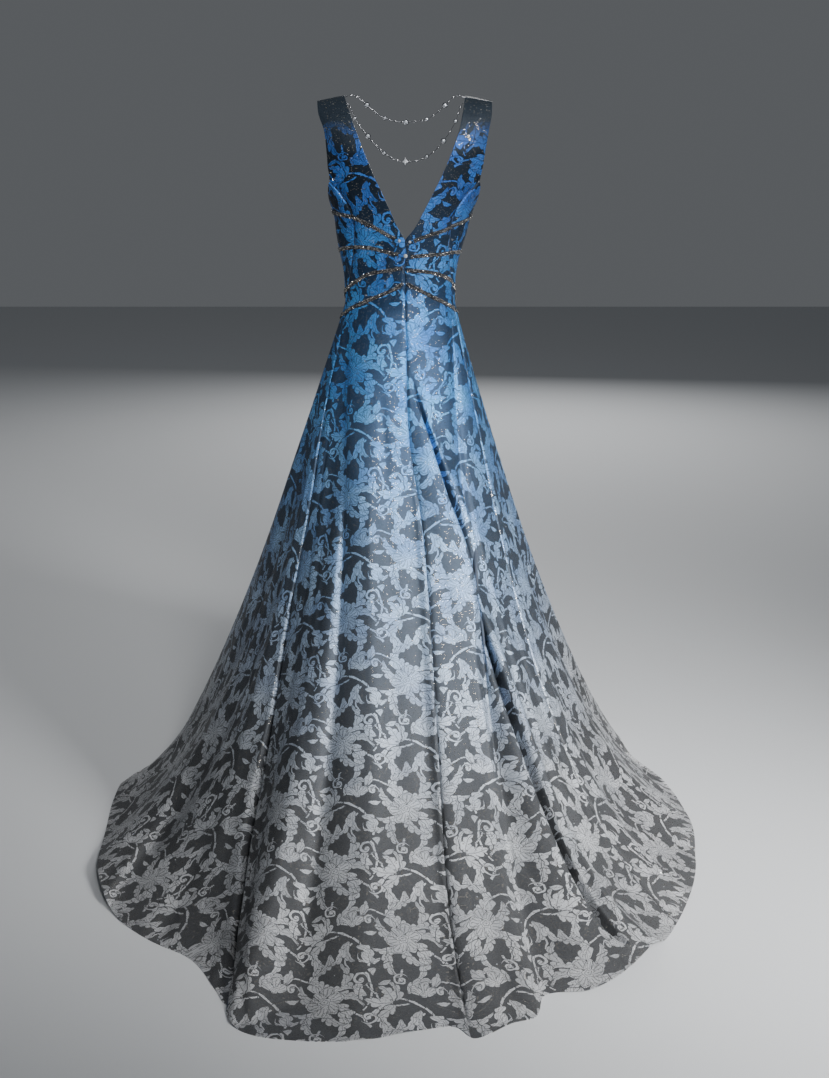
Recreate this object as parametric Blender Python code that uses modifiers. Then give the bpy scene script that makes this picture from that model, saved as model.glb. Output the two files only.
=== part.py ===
"""Sleeveless prom gown with a deep V back and a swept train, standing filled out with no wearer.

Metres, +Z up. The origin is halfway between the two shoulder seams, where the wearer holds the gown up.
The wearer faces +Y, so the train lies towards -Y and +X is the wearer's right seen from behind.
Heights are given as a drop below the shoulders. Each cut piece is a thin wall lofted through rows.
"""

import math
from collections import namedtuple

import bpy
from mathutils import Vector
from mathutils.bvhtree import BVHTree

# Driving sizes
HEM_DROP = 1.4975
WAIST_DROP = 0.430
UNDERARM_DROP = 0.222
PRINCESS_DROP = 0.170
WALL = 0.0016
SEAM_GAP = 0.0003
SHOULDER_ARCH = 0.110
SHOULDER_SLOPE = 0.20
STRAP_MIDDLE = 0.155
SLOPE_FADE = 0.060
CENTRE_BACK_X = 0.003

# Rows down the bodice as shares of the way from the armhole to the waist
BACK_V_SHARE = 0.45
FRONT_V_SHARE = 0.61
BODICE_SHARES = (0.0, 0.11, 0.22, 0.33, BACK_V_SHARE, 0.53, FRONT_V_SHARE, 0.74, 0.87, 1.0)
ARCH_ROWS = 4
SKIRT_ROWS = 17

# Columns across each piece
BACK_COLUMNS = 11
CREST_COLUMN = 5
SIDE_COLUMNS = 13
FRONT_HALF_COLUMNS = 11

BodyRow = namedtuple("BodyRow", "drop left right back front")
BODY = (
    BodyRow(0.000, 0.212, 0.215, 0.098, 0.070),
    BodyRow(0.060, 0.208, 0.212, 0.101, 0.080),
    BodyRow(0.120, 0.198, 0.200, 0.106, 0.094),
    BodyRow(0.170, 0.178, 0.180, 0.109, 0.108),
    BodyRow(0.210, 0.161, 0.158, 0.109, 0.119),
    BodyRow(0.245, 0.150, 0.144, 0.107, 0.126),
    BodyRow(0.280, 0.146, 0.135, 0.104, 0.128),
    BodyRow(0.320, 0.139, 0.123, 0.099, 0.122),
    BodyRow(0.360, 0.131, 0.114, 0.094, 0.112),
    BodyRow(0.400, 0.128, 0.111, 0.091, 0.104),
    BodyRow(0.430, 0.128, 0.111, 0.090, 0.102),
)

EdgeRow = namedtuple("EdgeRow", "drop left right")
BACK_V_EDGE = (
    EdgeRow(0.000, 0.127, 0.128),
    EdgeRow(0.071, 0.099, 0.112),
    EdgeRow(0.143, 0.070, 0.084),
    EdgeRow(0.212, 0.038, 0.049),
    EdgeRow(0.262, 0.015, 0.021),
    EdgeRow(0.287, 0.000, 0.000),
)
FRONT_V_EDGE = (
    EdgeRow(0.000, 0.127, 0.128),
    EdgeRow(0.050, 0.134, 0.135),
    EdgeRow(0.100, 0.127, 0.128),
    EdgeRow(0.150, 0.114, 0.115),
    EdgeRow(0.200, 0.096, 0.097),
    EdgeRow(0.250, 0.073, 0.074),
    EdgeRow(0.300, 0.045, 0.045),
    EdgeRow(0.335, 0.016, 0.016),
    EdgeRow(0.349, 0.000, 0.000),
)
# Armhole edges as shares of the body's half width
BACK_ARMHOLE = (
    EdgeRow(0.000, 0.863, 0.863),
    EdgeRow(0.032, 0.850, 0.860),
    EdgeRow(0.067, 0.805, 0.840),
    EdgeRow(0.121, 0.815, 0.842),
    EdgeRow(0.170, 0.888, 0.894),
)
FRONT_ARMHOLE = (
    EdgeRow(0.000, 0.863, 0.863),
    EdgeRow(0.040, 0.840, 0.840),
    EdgeRow(0.090, 0.810, 0.810),
    EdgeRow(0.145, 0.830, 0.830),
    EdgeRow(0.185, 0.875, 0.875),
    EdgeRow(0.212, 0.950, 0.950),
    EdgeRow(0.222, 0.985, 0.985),
)

# The side back seam on the bodice, as an angle round the body from the centre back
SeamRow = namedtuple("SeamRow", "drop degrees")
PRINCESS_SEAM = (
    SeamRow(0.200, 54.0),
    SeamRow(0.235, 48.0),
    SeamRow(0.300, 50.0),
    SeamRow(0.360, 64.0),
    SeamRow(0.400, 73.0),
    SeamRow(0.430, 78.0),
)

# Each row is a line of cloth from the waist to the hem: its angle round the waist, its hem point on the
# floor, and how its fall leaves the hips and sweeps out, as shares of its reach and its drop
HemRow = namedtuple("HemRow", "degrees x y hip_out hip_down sweep_out sweep_down")
HEM = (
    HemRow(-180.0, 0.000, 0.400, 0.30, 0.32, 0.64, 0.66),
    HemRow(-150.0, -0.185, 0.385, 0.30, 0.32, 0.64, 0.66),
    HemRow(-125.0, -0.370, 0.305, 0.28, 0.31, 0.62, 0.66),
    HemRow(-105.0, -0.510, 0.170, 0.26, 0.30, 0.60, 0.68),
    HemRow(-90.0, -0.580, 0.000, 0.24, 0.30, 0.58, 0.74),
    HemRow(-86.0, -0.642, -0.170, 0.21, 0.31, 0.43, 0.90),
    HemRow(-82.0, -0.632, -0.400, 0.17, 0.32, 0.42, 0.92),
    HemRow(-78.0, -0.605, -0.595, 0.14, 0.33, 0.42, 0.93),
    HemRow(-74.5, -0.550, -0.743, 0.12, 0.34, 0.44, 0.94),
    HemRow(-71.0, -0.466, -0.840, 0.10, 0.34, 0.46, 0.94),
    HemRow(-68.0, -0.380, -0.905, 0.09, 0.35, 0.49, 0.92),
    HemRow(-65.0, -0.325, -1.000, 0.08, 0.35, 0.50, 0.92),
    HemRow(-52.0, -0.270, -1.122, 0.08, 0.35, 0.50, 0.92),
    HemRow(-36.0, -0.180, -1.155, 0.08, 0.35, 0.50, 0.92),
    HemRow(-18.0, -0.050, -1.150, 0.08, 0.35, 0.50, 0.92),
    HemRow(0.0, 0.085, -1.114, 0.08, 0.35, 0.50, 0.92),
    HemRow(14.0, 0.122, -1.148, 0.08, 0.35, 0.50, 0.92),
    HemRow(36.0, 0.185, -1.105, 0.08, 0.35, 0.50, 0.92),
    HemRow(54.0, 0.228, -1.085, 0.08, 0.35, 0.50, 0.92),
    HemRow(65.0, 0.250, -1.020, 0.08, 0.35, 0.50, 0.92),
    HemRow(68.0, 0.334, -1.008, 0.09, 0.35, 0.49, 0.92),
    HemRow(71.0, 0.420, -0.941, 0.10, 0.34, 0.46, 0.94),
    HemRow(75.0, 0.518, -0.775, 0.12, 0.34, 0.44, 0.94),
    HemRow(79.0, 0.590, -0.565, 0.14, 0.33, 0.42, 0.93),
    HemRow(83.0, 0.609, -0.330, 0.17, 0.32, 0.40, 0.93),
    HemRow(86.5, 0.598, -0.170, 0.19, 0.31, 0.44, 0.90),
    HemRow(90.0, 0.545, 0.000, 0.20, 0.30, 0.49, 0.85),
    HemRow(105.0, 0.500, 0.180, 0.24, 0.30, 0.60, 0.72),
    HemRow(125.0, 0.375, 0.305, 0.28, 0.31, 0.62, 0.68),
    HemRow(150.0, 0.185, 0.385, 0.30, 0.32, 0.64, 0.66),
    HemRow(180.0, 0.000, 0.400, 0.30, 0.32, 0.64, 0.66),
)

# Seams of the skirt, as distances along the hem from the centre back, t of the way down the fall
SkirtSeamRow = namedtuple("SkirtSeamRow", "t centre left right")
SKIRT_SEAMS = (
    SkirtSeamRow(0.00, 0.000, -1.003, 0.796),
    SkirtSeamRow(0.10, 0.000, -1.060, 0.860),
    SkirtSeamRow(0.20, 0.000, -1.050, 0.860),
    SkirtSeamRow(0.33, 0.035, -0.925, 0.770),
    SkirtSeamRow(0.45, 0.045, -0.830, 0.710),
    SkirtSeamRow(0.61, 0.040, -0.713, 0.660),
    SkirtSeamRow(0.80, 0.025, -0.620, 0.630),
    SkirtSeamRow(0.90, 0.028, -0.540, 0.625),
    SkirtSeamRow(1.00, 0.040, -0.440, 0.625),
)
SIDE_SEAM_DEGREES = 100.0

# Each row is one large fold: how far it stands out, its reach to its left and right along the hem,
# and its path down the skirt as pairs of t and distance along the hem
Fold = namedtuple("Fold", "name depth left_reach right_reach path")
FOLDS = (
    Fold("centre_fold", 0.034, 0.120, 0.050,
         ((0.10, -0.010), (0.22, 0.080), (0.40, 0.225), (0.60, 0.340), (0.83, 0.395), (1.00, 0.480))),
    Fold("centre_back_dip", -0.007, 0.050, 0.050, ((0.08, 0.000), (0.35, 0.035), (1.00, 0.040))),
    Fold("left_seam_dip", -0.014, 0.080, 0.060, ((0.10, -1.060), (0.45, -0.830), (1.00, -0.440))),
    Fold("soft_valley", -0.016, 0.085, 0.075,
         ((0.12, -0.520), (0.31, -0.375), (0.52, -0.312), (1.00, -0.285))),
    Fold("left_crest", 0.014, 0.090, 0.080, ((0.20, -0.730), (0.60, -0.520), (1.00, -0.380))),
    Fold("left_outer_dip", -0.014, 0.070, 0.070, ((0.30, -1.250), (0.60, -1.040), (0.95, -0.950))),
    Fold("left_train_ridge", 0.016, 0.110, 0.110, ((0.60, -1.230), (0.82, -1.130), (1.00, -1.000))),
    Fold("right_outer_dip", -0.014, 0.080, 0.080, ((0.25, 0.980), (0.60, 0.880), (0.95, 0.830))),
    Fold("right_crest", 0.016, 0.090, 0.100, ((0.30, 1.100), (0.65, 1.050), (1.00, 1.010))),
    Fold("left_side_wave", -0.014, 0.090, 0.090, ((0.30, -1.600), (1.00, -1.570))),
    Fold("right_side_wave", -0.014, 0.090, 0.090, ((0.30, 1.430), (1.00, 1.400))),
    Fold("front_left_wave", -0.013, 0.080, 0.080, ((0.22, -1.960), (1.00, -1.940))),
    Fold("front_left_crest", 0.012, 0.070, 0.070, ((0.35, -2.120), (1.00, -2.130))),
    Fold("front_right_wave", -0.012, 0.080, 0.080, ((0.28, 1.700), (1.00, 1.720))),
    Fold("front_right_crest", 0.014, 0.070, 0.070, ((0.25, 1.900), (1.00, 1.930))),
)
FOLD_ONSET = 0.28
FOLD_FADE = 0.10
FOLD_WAIST_SHARE = 0.30

# The beaded bands, as rows of angle round the body and drop, from the centre back outwards
BAND_HALF_WIDTH = 0.0046
BAND_CREST = 0.7
BAND_HEIGHT = 0.0020
TRIM_LIFT = 0.0006
BAND_STEPS = 24
Band = namedtuple("Band", "side number degrees drops")
BANDS = (
    Band(-1, 1, (8.0, 15.0, 27.0, 45.0, 89.0, 99.0), (0.2855, 0.276, 0.260, 0.243, 0.234, 0.236)),
    Band(-1, 2, (5.5, 17.0, 30.0, 44.0, 90.0, 99.0), (0.318, 0.312, 0.305, 0.304, 0.316, 0.318)),
    Band(-1, 3, (2.0, 17.0, 38.0, 51.0, 78.0, 99.0), (0.346, 0.352, 0.362, 0.376, 0.400, 0.418)),
    Band(-1, 4, (2.0, 7.0, 17.0, 38.0, 63.0, 99.0), (0.378, 0.387, 0.398, 0.417, 0.437, 0.466)),
    Band(1, 1, (8.0, 18.0, 37.0, 59.0, 82.0, 99.0), (0.290, 0.281, 0.268, 0.254, 0.244, 0.240)),
    Band(1, 2, (5.5, 30.0, 53.0, 75.0, 99.0), (0.322, 0.319, 0.317, 0.317, 0.319)),
    Band(1, 3, (2.0, 21.0, 41.0, 64.0, 78.0, 99.0), (0.351, 0.354, 0.362, 0.378, 0.396, 0.424)),
    Band(1, 4, (2.0, 19.0, 40.0, 64.0, 99.0), (0.379, 0.396, 0.415, 0.433, 0.455)),
)

# Faceted crystals sewn on at the centre back
Crystal = namedtuple("Crystal", "name side degrees drop radius height")
CRYSTALS = (
    Crystal("crystal_centre", 1, 0.6, 0.3205, 0.0052, 0.0045),
    Crystal("crystal_left", -1, 4.6, 0.2885, 0.0032, 0.0030),
    Crystal("crystal_right", 1, 4.4, 0.2910, 0.0032, 0.0030),
)
CRYSTAL_TABLE = 0.55

# The beaded strands that hang across the back, as rows of sideways place and drop
THREAD_RADIUS = 0.0010
THREAD_STEP = 0.0056
BEAD_CLEARANCE = 0.0004
StrandPoint = namedtuple("StrandPoint", "x drop")
UPPER_STRAND_Y = -0.022
UPPER_STRAND = (
    StrandPoint(-0.1236, -0.0010),
    StrandPoint(-0.1160, -0.0044),
    StrandPoint(-0.1010, -0.0040),
    StrandPoint(-0.0900, 0.0030),
    StrandPoint(-0.0770, 0.0140),
    StrandPoint(-0.0540, 0.0330),
    StrandPoint(-0.0390, 0.0410),
    StrandPoint(-0.0170, 0.0472),
    StrandPoint(0.0050, 0.0490),
    StrandPoint(0.0270, 0.0476),
    StrandPoint(0.0490, 0.0430),
    StrandPoint(0.0690, 0.0310),
    StrandPoint(0.0870, 0.0150),
    StrandPoint(0.1000, 0.0020),
    StrandPoint(0.1110, -0.0050),
    StrandPoint(0.1200, -0.0046),
    StrandPoint(0.1299, 0.0001),
)
LOWER_STRAND_Y = -0.034
LOWER_STRAND = (
    StrandPoint(-0.1198, 0.0095),
    StrandPoint(-0.1155, 0.0120),
    StrandPoint(-0.1100, 0.0210),
    StrandPoint(-0.1020, 0.0410),
    StrandPoint(-0.0890, 0.0600),
    StrandPoint(-0.0750, 0.0770),
    StrandPoint(-0.0590, 0.0960),
    StrandPoint(-0.0410, 0.1120),
    StrandPoint(-0.0200, 0.1245),
    StrandPoint(0.0030, 0.1300),
    StrandPoint(0.0270, 0.1280),
    StrandPoint(0.0490, 0.1190),
    StrandPoint(0.0680, 0.1050),
    StrandPoint(0.0840, 0.0870),
    StrandPoint(0.0980, 0.0680),
    StrandPoint(0.1090, 0.0470),
    StrandPoint(0.1172, 0.0240),
    StrandPoint(0.1215, 0.0120),
    StrandPoint(0.1264, 0.0090),
)
Bead = namedtuple("Bead", "strand x radius")
BEADS = (
    Bead("upper", -0.0770, 0.0058),
    Bead("upper", -0.0390, 0.0043),
    Bead("upper", 0.0050, 0.0058),
    Bead("upper", 0.0490, 0.0043),
    Bead("upper", 0.0870, 0.0058),
    Bead("lower", -0.1020, 0.0043),
    Bead("lower", -0.0750, 0.0058),
    Bead("lower", -0.0410, 0.0043),
    Bead("lower", 0.0490, 0.0043),
    Bead("lower", 0.0840, 0.0058),
    Bead("lower", 0.1090, 0.0043),
)
BEAD_SEGMENTS = 10
DROP_STONE_X = 0.003
DROP_STONE_HALF_WIDTH = 0.0075
DROP_STONE_HALF_HEIGHT = 0.0095
DROP_STONE_THICKNESS = 0.0045


def blend(a, b, share):
    """The value a share of the way from a to b."""
    return a + (b - a) * share


def smooth_value(keys, values, key):
    """The value at key on a smooth curve through the rows, held level past both ends."""
    if key <= keys[0]:
        return values[0]
    if key >= keys[-1]:
        return values[-1]
    i = max(k for k in range(len(keys) - 1) if keys[k] <= key)
    span = keys[i + 1] - keys[i]
    share = (key - keys[i]) / span

    def slope(k):
        low, high = max(k - 1, 0), min(k + 1, len(keys) - 1)
        return (values[high] - values[low]) / (keys[high] - keys[low])

    t2, t3 = share * share, share * share * share
    return (
        (2 * t3 - 3 * t2 + 1) * values[i]
        + (t3 - 2 * t2 + share) * span * slope(i)
        + (3 * t2 - 2 * t3) * values[i + 1]
        + (t3 - t2) * span * slope(i + 1)
    )


def column_at(rows, name, key):
    """A named column of a table at a value of its first column."""
    return smooth_value([row[0] for row in rows], [getattr(row, name) for row in rows], key)


def bezier(a, b, c, d, t):
    """A cubic curve's value at t."""
    s = 1 - t
    return s * s * s * a + 3 * s * s * t * b + 3 * s * t * t * c + t * t * t * d


def side_name(side):
    """The name of a side: -1 is left and 1 is right, as seen from behind."""
    return "left" if side < 0 else "right"


# The body form above the waist
def body_point(side, angle, drop):
    """A point on the body form, with the angle from the centre back to the centre front."""
    half = column_at(BODY, side_name(side), drop)
    depth = column_at(BODY, "back" if angle < math.pi / 2 else "front", drop)
    low = 1 - min(1.0, max(drop, 0.0) / SHOULDER_ARCH)
    arch = math.sqrt(max(0.0, 1 - low * low))
    x = side * half * math.sin(angle) + CENTRE_BACK_X * math.cos(angle) ** 2
    y = -depth * arch * math.cos(angle)
    fade = 1 - min(1.0, drop / SLOPE_FADE)
    return Vector((x, y, -drop - SHOULDER_SLOPE * (abs(x) - STRAP_MIDDLE) * fade))


def angle_of_edge(side, drop, width):
    """The angle from the centre line at which the body form is as wide as an edge."""
    return math.asin(min(1.0, width / column_at(BODY, side_name(side), drop)))


# The skirt below the waist
def hem_stations():
    """The distance of each hem row along the hem from the centre back, left negative."""
    run = [0.0]
    for a, b in zip(HEM, HEM[1:]):
        run.append(run[-1] + math.hypot(b.x - a.x, b.y - a.y))
    centre = run[[row.degrees for row in HEM].index(0.0)]
    return [r - centre for r in run]


STATIONS = hem_stations()


def hem_column(name, station):
    """A named column of the hem table at a distance along the hem."""
    return smooth_value(STATIONS, [getattr(row, name) for row in HEM], station)


def station_at(degrees):
    """The distance along the hem of a row of the hem table."""
    return STATIONS[[row.degrees for row in HEM].index(degrees)]


def plain_skirt_point(station, t):
    """A point on the skirt before its folds, t of the way down its fall."""
    degrees = hem_column("degrees", station)
    waist = body_point(-1 if degrees < 0 else 1, math.radians(abs(degrees)), WAIST_DROP)
    out = bezier(0.0, hem_column("hip_out", station), hem_column("sweep_out", station), 1.0, t)
    down = bezier(0.0, hem_column("hip_down", station), hem_column("sweep_down", station), 1.0, t)
    x = blend(waist.x, hem_column("x", station), out)
    y = blend(waist.y, hem_column("y", station), out)
    return Vector((x, y, -blend(WAIST_DROP, HEM_DROP, down)))


def fold_height(station, t):
    """How far the cloth stands out of its plain form at a point of the skirt."""
    height = 0.0
    for fold in FOLDS:
        start, end = fold.path[0][0], fold.path[-1][0]
        rise = ease((t - start) / FOLD_ONSET)
        fade = 1.0 if end >= 1.0 else ease((end - t) / FOLD_FADE)
        if rise <= 0.0 or fade <= 0.0:
            continue
        centre = fold_centre(fold, t)
        reach = fold.left_reach if station < centre else fold.right_reach
        depth = fold.depth * blend(FOLD_WAIST_SHARE, 1.0, t)
        height += depth * rise * fade * math.exp(-(((station - centre) / reach) ** 2))
    return height


def ease(share):
    """A smooth step from 0 to 1."""
    share = min(1.0, max(0.0, share))
    return share * share * (3 - 2 * share)


def facing(across, down, point):
    """The outward unit normal from two tangents at a point."""
    normal = across.cross(down)
    outward = Vector((point.x, point.y, 0.0)).normalized() + Vector((0.0, 0.0, 0.6))
    return (normal if normal.dot(outward) > 0 else -normal).normalized()


PROBE = 0.0005


def skirt_point(station, t):
    """A point on the skirt with its folds, never under the floor."""
    plain = plain_skirt_point(station, t)
    across = plain_skirt_point(station + PROBE, t) - plain_skirt_point(station - PROBE, t)
    down = plain_skirt_point(station, t + PROBE) - plain_skirt_point(station, t - PROBE)
    point = plain + facing(across, down, plain) * fold_height(station, t)
    point.z = max(point.z, -HEM_DROP)
    return point


def skirt_normal(station, t):
    """The outward normal of the folded skirt."""
    across = skirt_point(station + PROBE, t) - skirt_point(station - PROBE, t)
    down = skirt_point(station, min(1.0, t + PROBE)) - skirt_point(station, max(0.0, t - PROBE))
    return facing(across, down, skirt_point(station, t))


def body_normal(side, angle, drop):
    """The outward normal of the body form."""
    across = body_point(side, angle + PROBE, drop) - body_point(side, angle - PROBE, drop)
    down = body_point(side, angle, drop + PROBE) - body_point(side, angle, max(0.0, drop - PROBE))
    return facing(across, down, body_point(side, angle, drop))


# Rows and columns of the cut pieces
def arch_drops():
    """Drops of the rows that round the top of the shoulder, from the shoulder seam down."""
    first = SEAM_GAP / BODY[0].front
    angles = [first] + [math.pi / 2 * k / ARCH_ROWS for k in range(1, ARCH_ROWS + 1)]
    return [SHOULDER_ARCH * (1 - math.cos(a)) for a in angles]


def seam_station(side, t):
    """The distance along the hem of the side back seam."""
    return column_at(SKIRT_SEAMS, side_name(side), t)


def side_station(side):
    """The distance along the hem of a side seam."""
    return hip_station(side, SIDE_SEAM_DEGREES)


def fold_centre(fold, t):
    """The distance along the hem of a fold's crest or valley."""
    return smooth_value([p[0] for p in fold.path], [p[1] for p in fold.path], t)


def beside_fold(start, end, c, t):
    """A column's place when the columns gather along the crest and the foot of the centre fold."""
    crest = fold_centre(FOLDS[0], t)
    foot = crest + FOLDS[0].right_reach
    if c <= CREST_COLUMN:
        return blend(start, crest, c / CREST_COLUMN)
    return blend(foot, end, (c - CREST_COLUMN - 1) / (BACK_COLUMNS - CREST_COLUMN - 1))


def princess_angle(side, share):
    """The side back seam's angle on the bodice, a share of the way from the armhole to the waist."""
    drop = blend(PRINCESS_DROP, WAIST_DROP, share)
    if share == 0.0:
        return math.asin(column_at(BACK_ARMHOLE, side_name(side), drop))
    return math.radians(column_at(PRINCESS_SEAM, "degrees", drop))


def grid_point(side, angle, drop):
    """A point of the bodice with its normal."""
    return body_point(side, angle, drop), body_normal(side, angle, drop)


def skirt_rows(side, place, columns, first_angles):
    """Rows of points and normals down the skirt, with place(column, t) along the hem."""
    rows = []
    for k in range(SKIRT_ROWS + 1):
        t = k / SKIRT_ROWS
        row = []
        for c in range(columns + 1):
            station = place(c, t)
            point, normal = skirt_point(station, t), skirt_normal(station, t)
            if k == 0:
                point = body_point(side, first_angles[c], WAIST_DROP)
                normal = (normal + body_normal(side, first_angles[c], WAIST_DROP)).normalized()
            row.append((point, normal))
        rows.append(row)
    return rows


def waist_angles(place, columns):
    """The angles round the waist of a piece's columns, in radians."""
    return [math.radians(abs(hem_column("degrees", place(c, 0.0)))) for c in range(columns + 1)]


def column_shares(angles):
    """Where a piece's columns lie between its two edges at the waist."""
    return [(a - angles[0]) / (angles[-1] - angles[0]) for a in angles]


def inset(rows, column, inner, first_row):
    """Draws a seam edge in by half the seam gap, from first_row down."""
    for row in rows[first_row:]:
        point, normal = row[column]
        along = (row[inner][0] - point).normalized()
        row[column] = (point + along * (SEAM_GAP / 2), normal)


def back_rows(side):
    """The centre back piece's rows, from the centre back to the side back seam."""

    def place(c, t):
        start, end = column_at(SKIRT_SEAMS, "centre", t), seam_station(side, t)
        even = blend(start, end, c / BACK_COLUMNS)
        return blend(even, beside_fold(start, end, c, t), ease((t - 0.15) / 0.3)) if side > 0 else even

    angles = waist_angles(place, BACK_COLUMNS)
    shares = column_shares(angles)
    rows = []
    strap = arch_drops() + [blend(SHOULDER_ARCH, PRINCESS_DROP, 0.5)]
    for drop in strap:
        inner = angle_of_edge(side, drop, column_at(BACK_V_EDGE, side_name(side), drop))
        outer = math.asin(column_at(BACK_ARMHOLE, side_name(side), drop))
        rows.append([grid_point(side, blend(inner, outer, s), drop) for s in shares])
    for share in BODICE_SHARES[:-1]:
        drop = blend(PRINCESS_DROP, WAIST_DROP, share)
        inner = angle_of_edge(side, drop, column_at(BACK_V_EDGE, side_name(side), drop))
        inner = 0.0 if share >= BACK_V_SHARE else inner
        outer = princess_angle(side, share)
        rows.append([grid_point(side, blend(inner, outer, s), drop) for s in shares])
    rows += skirt_rows(side, place, BACK_COLUMNS, angles)
    inset(rows, 0, 1, len(strap) + BODICE_SHARES.index(BACK_V_SHARE))
    inset(rows, -1, -2, len(strap))
    return rows


def side_rows(side):
    """The side back piece's rows, from the side back seam to the side seam."""

    def place(c, t):
        return blend(seam_station(side, t), side_station(side), c / SIDE_COLUMNS)

    angles = waist_angles(place, SIDE_COLUMNS)
    shares = column_shares(angles)
    side_seam = math.radians(SIDE_SEAM_DEGREES)
    rows = []
    for share in BODICE_SHARES[:-1]:
        inner = princess_angle(side, share)
        row = []
        for s in shares:
            top = blend(PRINCESS_DROP, UNDERARM_DROP, math.sin(math.pi / 2 * s))
            row.append(grid_point(side, blend(inner, side_seam, s), blend(top, WAIST_DROP, share)))
        rows.append(row)
    rows += skirt_rows(side, place, SIDE_COLUMNS, angles)
    inset(rows, 0, 1, 0)
    inset(rows, -1, -2, 0)
    return rows


def front_rows(side):
    """Half of the front's rows, from the side seam to the centre front."""
    centre = STATIONS[0] if side < 0 else STATIONS[-1]

    def place(c, t):
        return blend(side_station(side), centre, c / FRONT_HALF_COLUMNS)

    angles = waist_angles(place, FRONT_HALF_COLUMNS)
    shares = column_shares(angles)
    rows = []
    strap = arch_drops() + [blend(SHOULDER_ARCH, UNDERARM_DROP, k / 3) for k in (1, 2)]
    for drop in strap:
        outer = math.pi - math.asin(column_at(FRONT_ARMHOLE, side_name(side), drop))
        inner = math.pi - angle_of_edge(side, drop, column_at(FRONT_V_EDGE, side_name(side), drop))
        rows.append([grid_point(side, blend(outer, inner, s), drop) for s in shares])
    for share in BODICE_SHARES[:-1]:
        drop = blend(UNDERARM_DROP, WAIST_DROP, share)
        outer = math.radians(SIDE_SEAM_DEGREES)
        inner = math.pi - angle_of_edge(side, drop, column_at(FRONT_V_EDGE, side_name(side), drop))
        inner = math.pi if share >= FRONT_V_SHARE else inner
        rows.append([grid_point(side, blend(outer, inner, s), drop) for s in shares])
    rows += skirt_rows(side, place, FRONT_HALF_COLUMNS, angles)
    inset(rows, 0, 1, len(strap))
    return rows


# Turning rows into closed walls
def grid_cells(first, height, width, names=None):
    """The four corners of each cell of a grid whose points are numbered row by row from first."""
    number = names or (lambda r, c: first + r * width + c)
    return [
        (number(r, c), number(r, c + 1), number(r + 1, c + 1), number(r + 1, c))
        for r in range(height - 1)
        for c in range(width - 1)
    ]


def wall_object(name, points, normals, cells, collection, material):
    """A closed wall with its outer face on the points, each cell split the same way on both faces."""
    count = len(points)
    triangles = []
    for a, b, c, d in cells:
        triangles += [(a, b, c), (a, c, d)]
    turn = sum(
        (points[b] - points[a]).cross(points[c] - points[a]).dot(normals[a]) for a, b, c in triangles
    )
    if turn < 0:
        triangles = [(a, c, b) for a, b, c in triangles]
    edges = {(t[k], t[(k + 1) % 3]) for t in triangles for k in range(3)}
    rim = [(a, b) for a, b in edges if (b, a) not in edges]
    faces = list(triangles)
    faces += [(a + count, c + count, b + count) for a, b, c in triangles]
    for a, b in sorted(rim):
        faces += [(b, a, a + count), (b, a + count, b + count)]
    inner = [p - n * WALL for p, n in zip(points, normals)]
    mesh = bpy.data.meshes.new(name)
    mesh.from_pydata(points + inner, [], faces)
    mesh.shade_smooth()
    mesh.set_sharp_from_angle(angle=math.radians(40))
    mesh.materials.append(material)
    piece = bpy.data.objects.new(name, mesh)
    collection.objects.link(piece)
    return triangles


def panel(name, rows, collection, material):
    """A cut piece from one grid of rows. Returns its outer points and triangles."""
    points = [p for row in rows for p, _ in row]
    normals = [n for row in rows for _, n in row]
    cells = grid_cells(0, len(rows), len(rows[0]))
    triangles = wall_object(name, points, normals, cells, collection, material)
    return points, triangles


def front_panel(name, collection, material):
    """The front, whose two halves are one piece from the bottom of the V down."""
    left, right = front_rows(-1), front_rows(1)
    width = len(left[0])
    joined = len(left) - SKIRT_ROWS - len(BODICE_SHARES) + BODICE_SHARES.index(FRONT_V_SHARE)
    points = [p for row in left for p, _ in row]
    normals = [n for row in left for _, n in row]
    names = {}
    for r, row in enumerate(right):
        for c, (point, normal) in enumerate(row):
            if c == width - 1 and r >= joined:
                names[r, c] = r * width + c
                continue
            names[r, c] = len(points)
            points.append(point)
            normals.append(normal)
    cells = grid_cells(0, len(left), width)
    other = grid_cells(0, len(right), width, lambda r, c: names[r, c])
    cells += [(b, a, d, c) for a, b, c, d in other]
    wall_object(name, points, normals, cells, collection, material)


# Trim that lies on the panels
def on_panels(tree, side, degrees, drop):
    """The point of the built panels nearest a place on the bodice or hip, with the form's normal."""
    angle = math.radians(degrees)
    if drop <= WAIST_DROP:
        point, normal = grid_point(side, angle, drop)
    else:
        station = hip_station(side, degrees)
        t = hip_share(station, drop)
        point, normal = skirt_point(station, t), skirt_normal(station, t)
    return tree.find_nearest(point)[0], normal


def hip_station(side, degrees):
    """The distance along the hem of the line of cloth at an angle round the waist."""
    return smooth_value([row.degrees for row in HEM], STATIONS, side * degrees)


def hip_share(station, drop):
    """How far down its fall a line of cloth reaches a drop just below the waist."""
    low, high = 0.0, 0.5
    for _ in range(30):
        middle = (low + high) / 2
        if -skirt_point(station, middle).z < drop:
            low = middle
        else:
            high = middle
    return low


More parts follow.
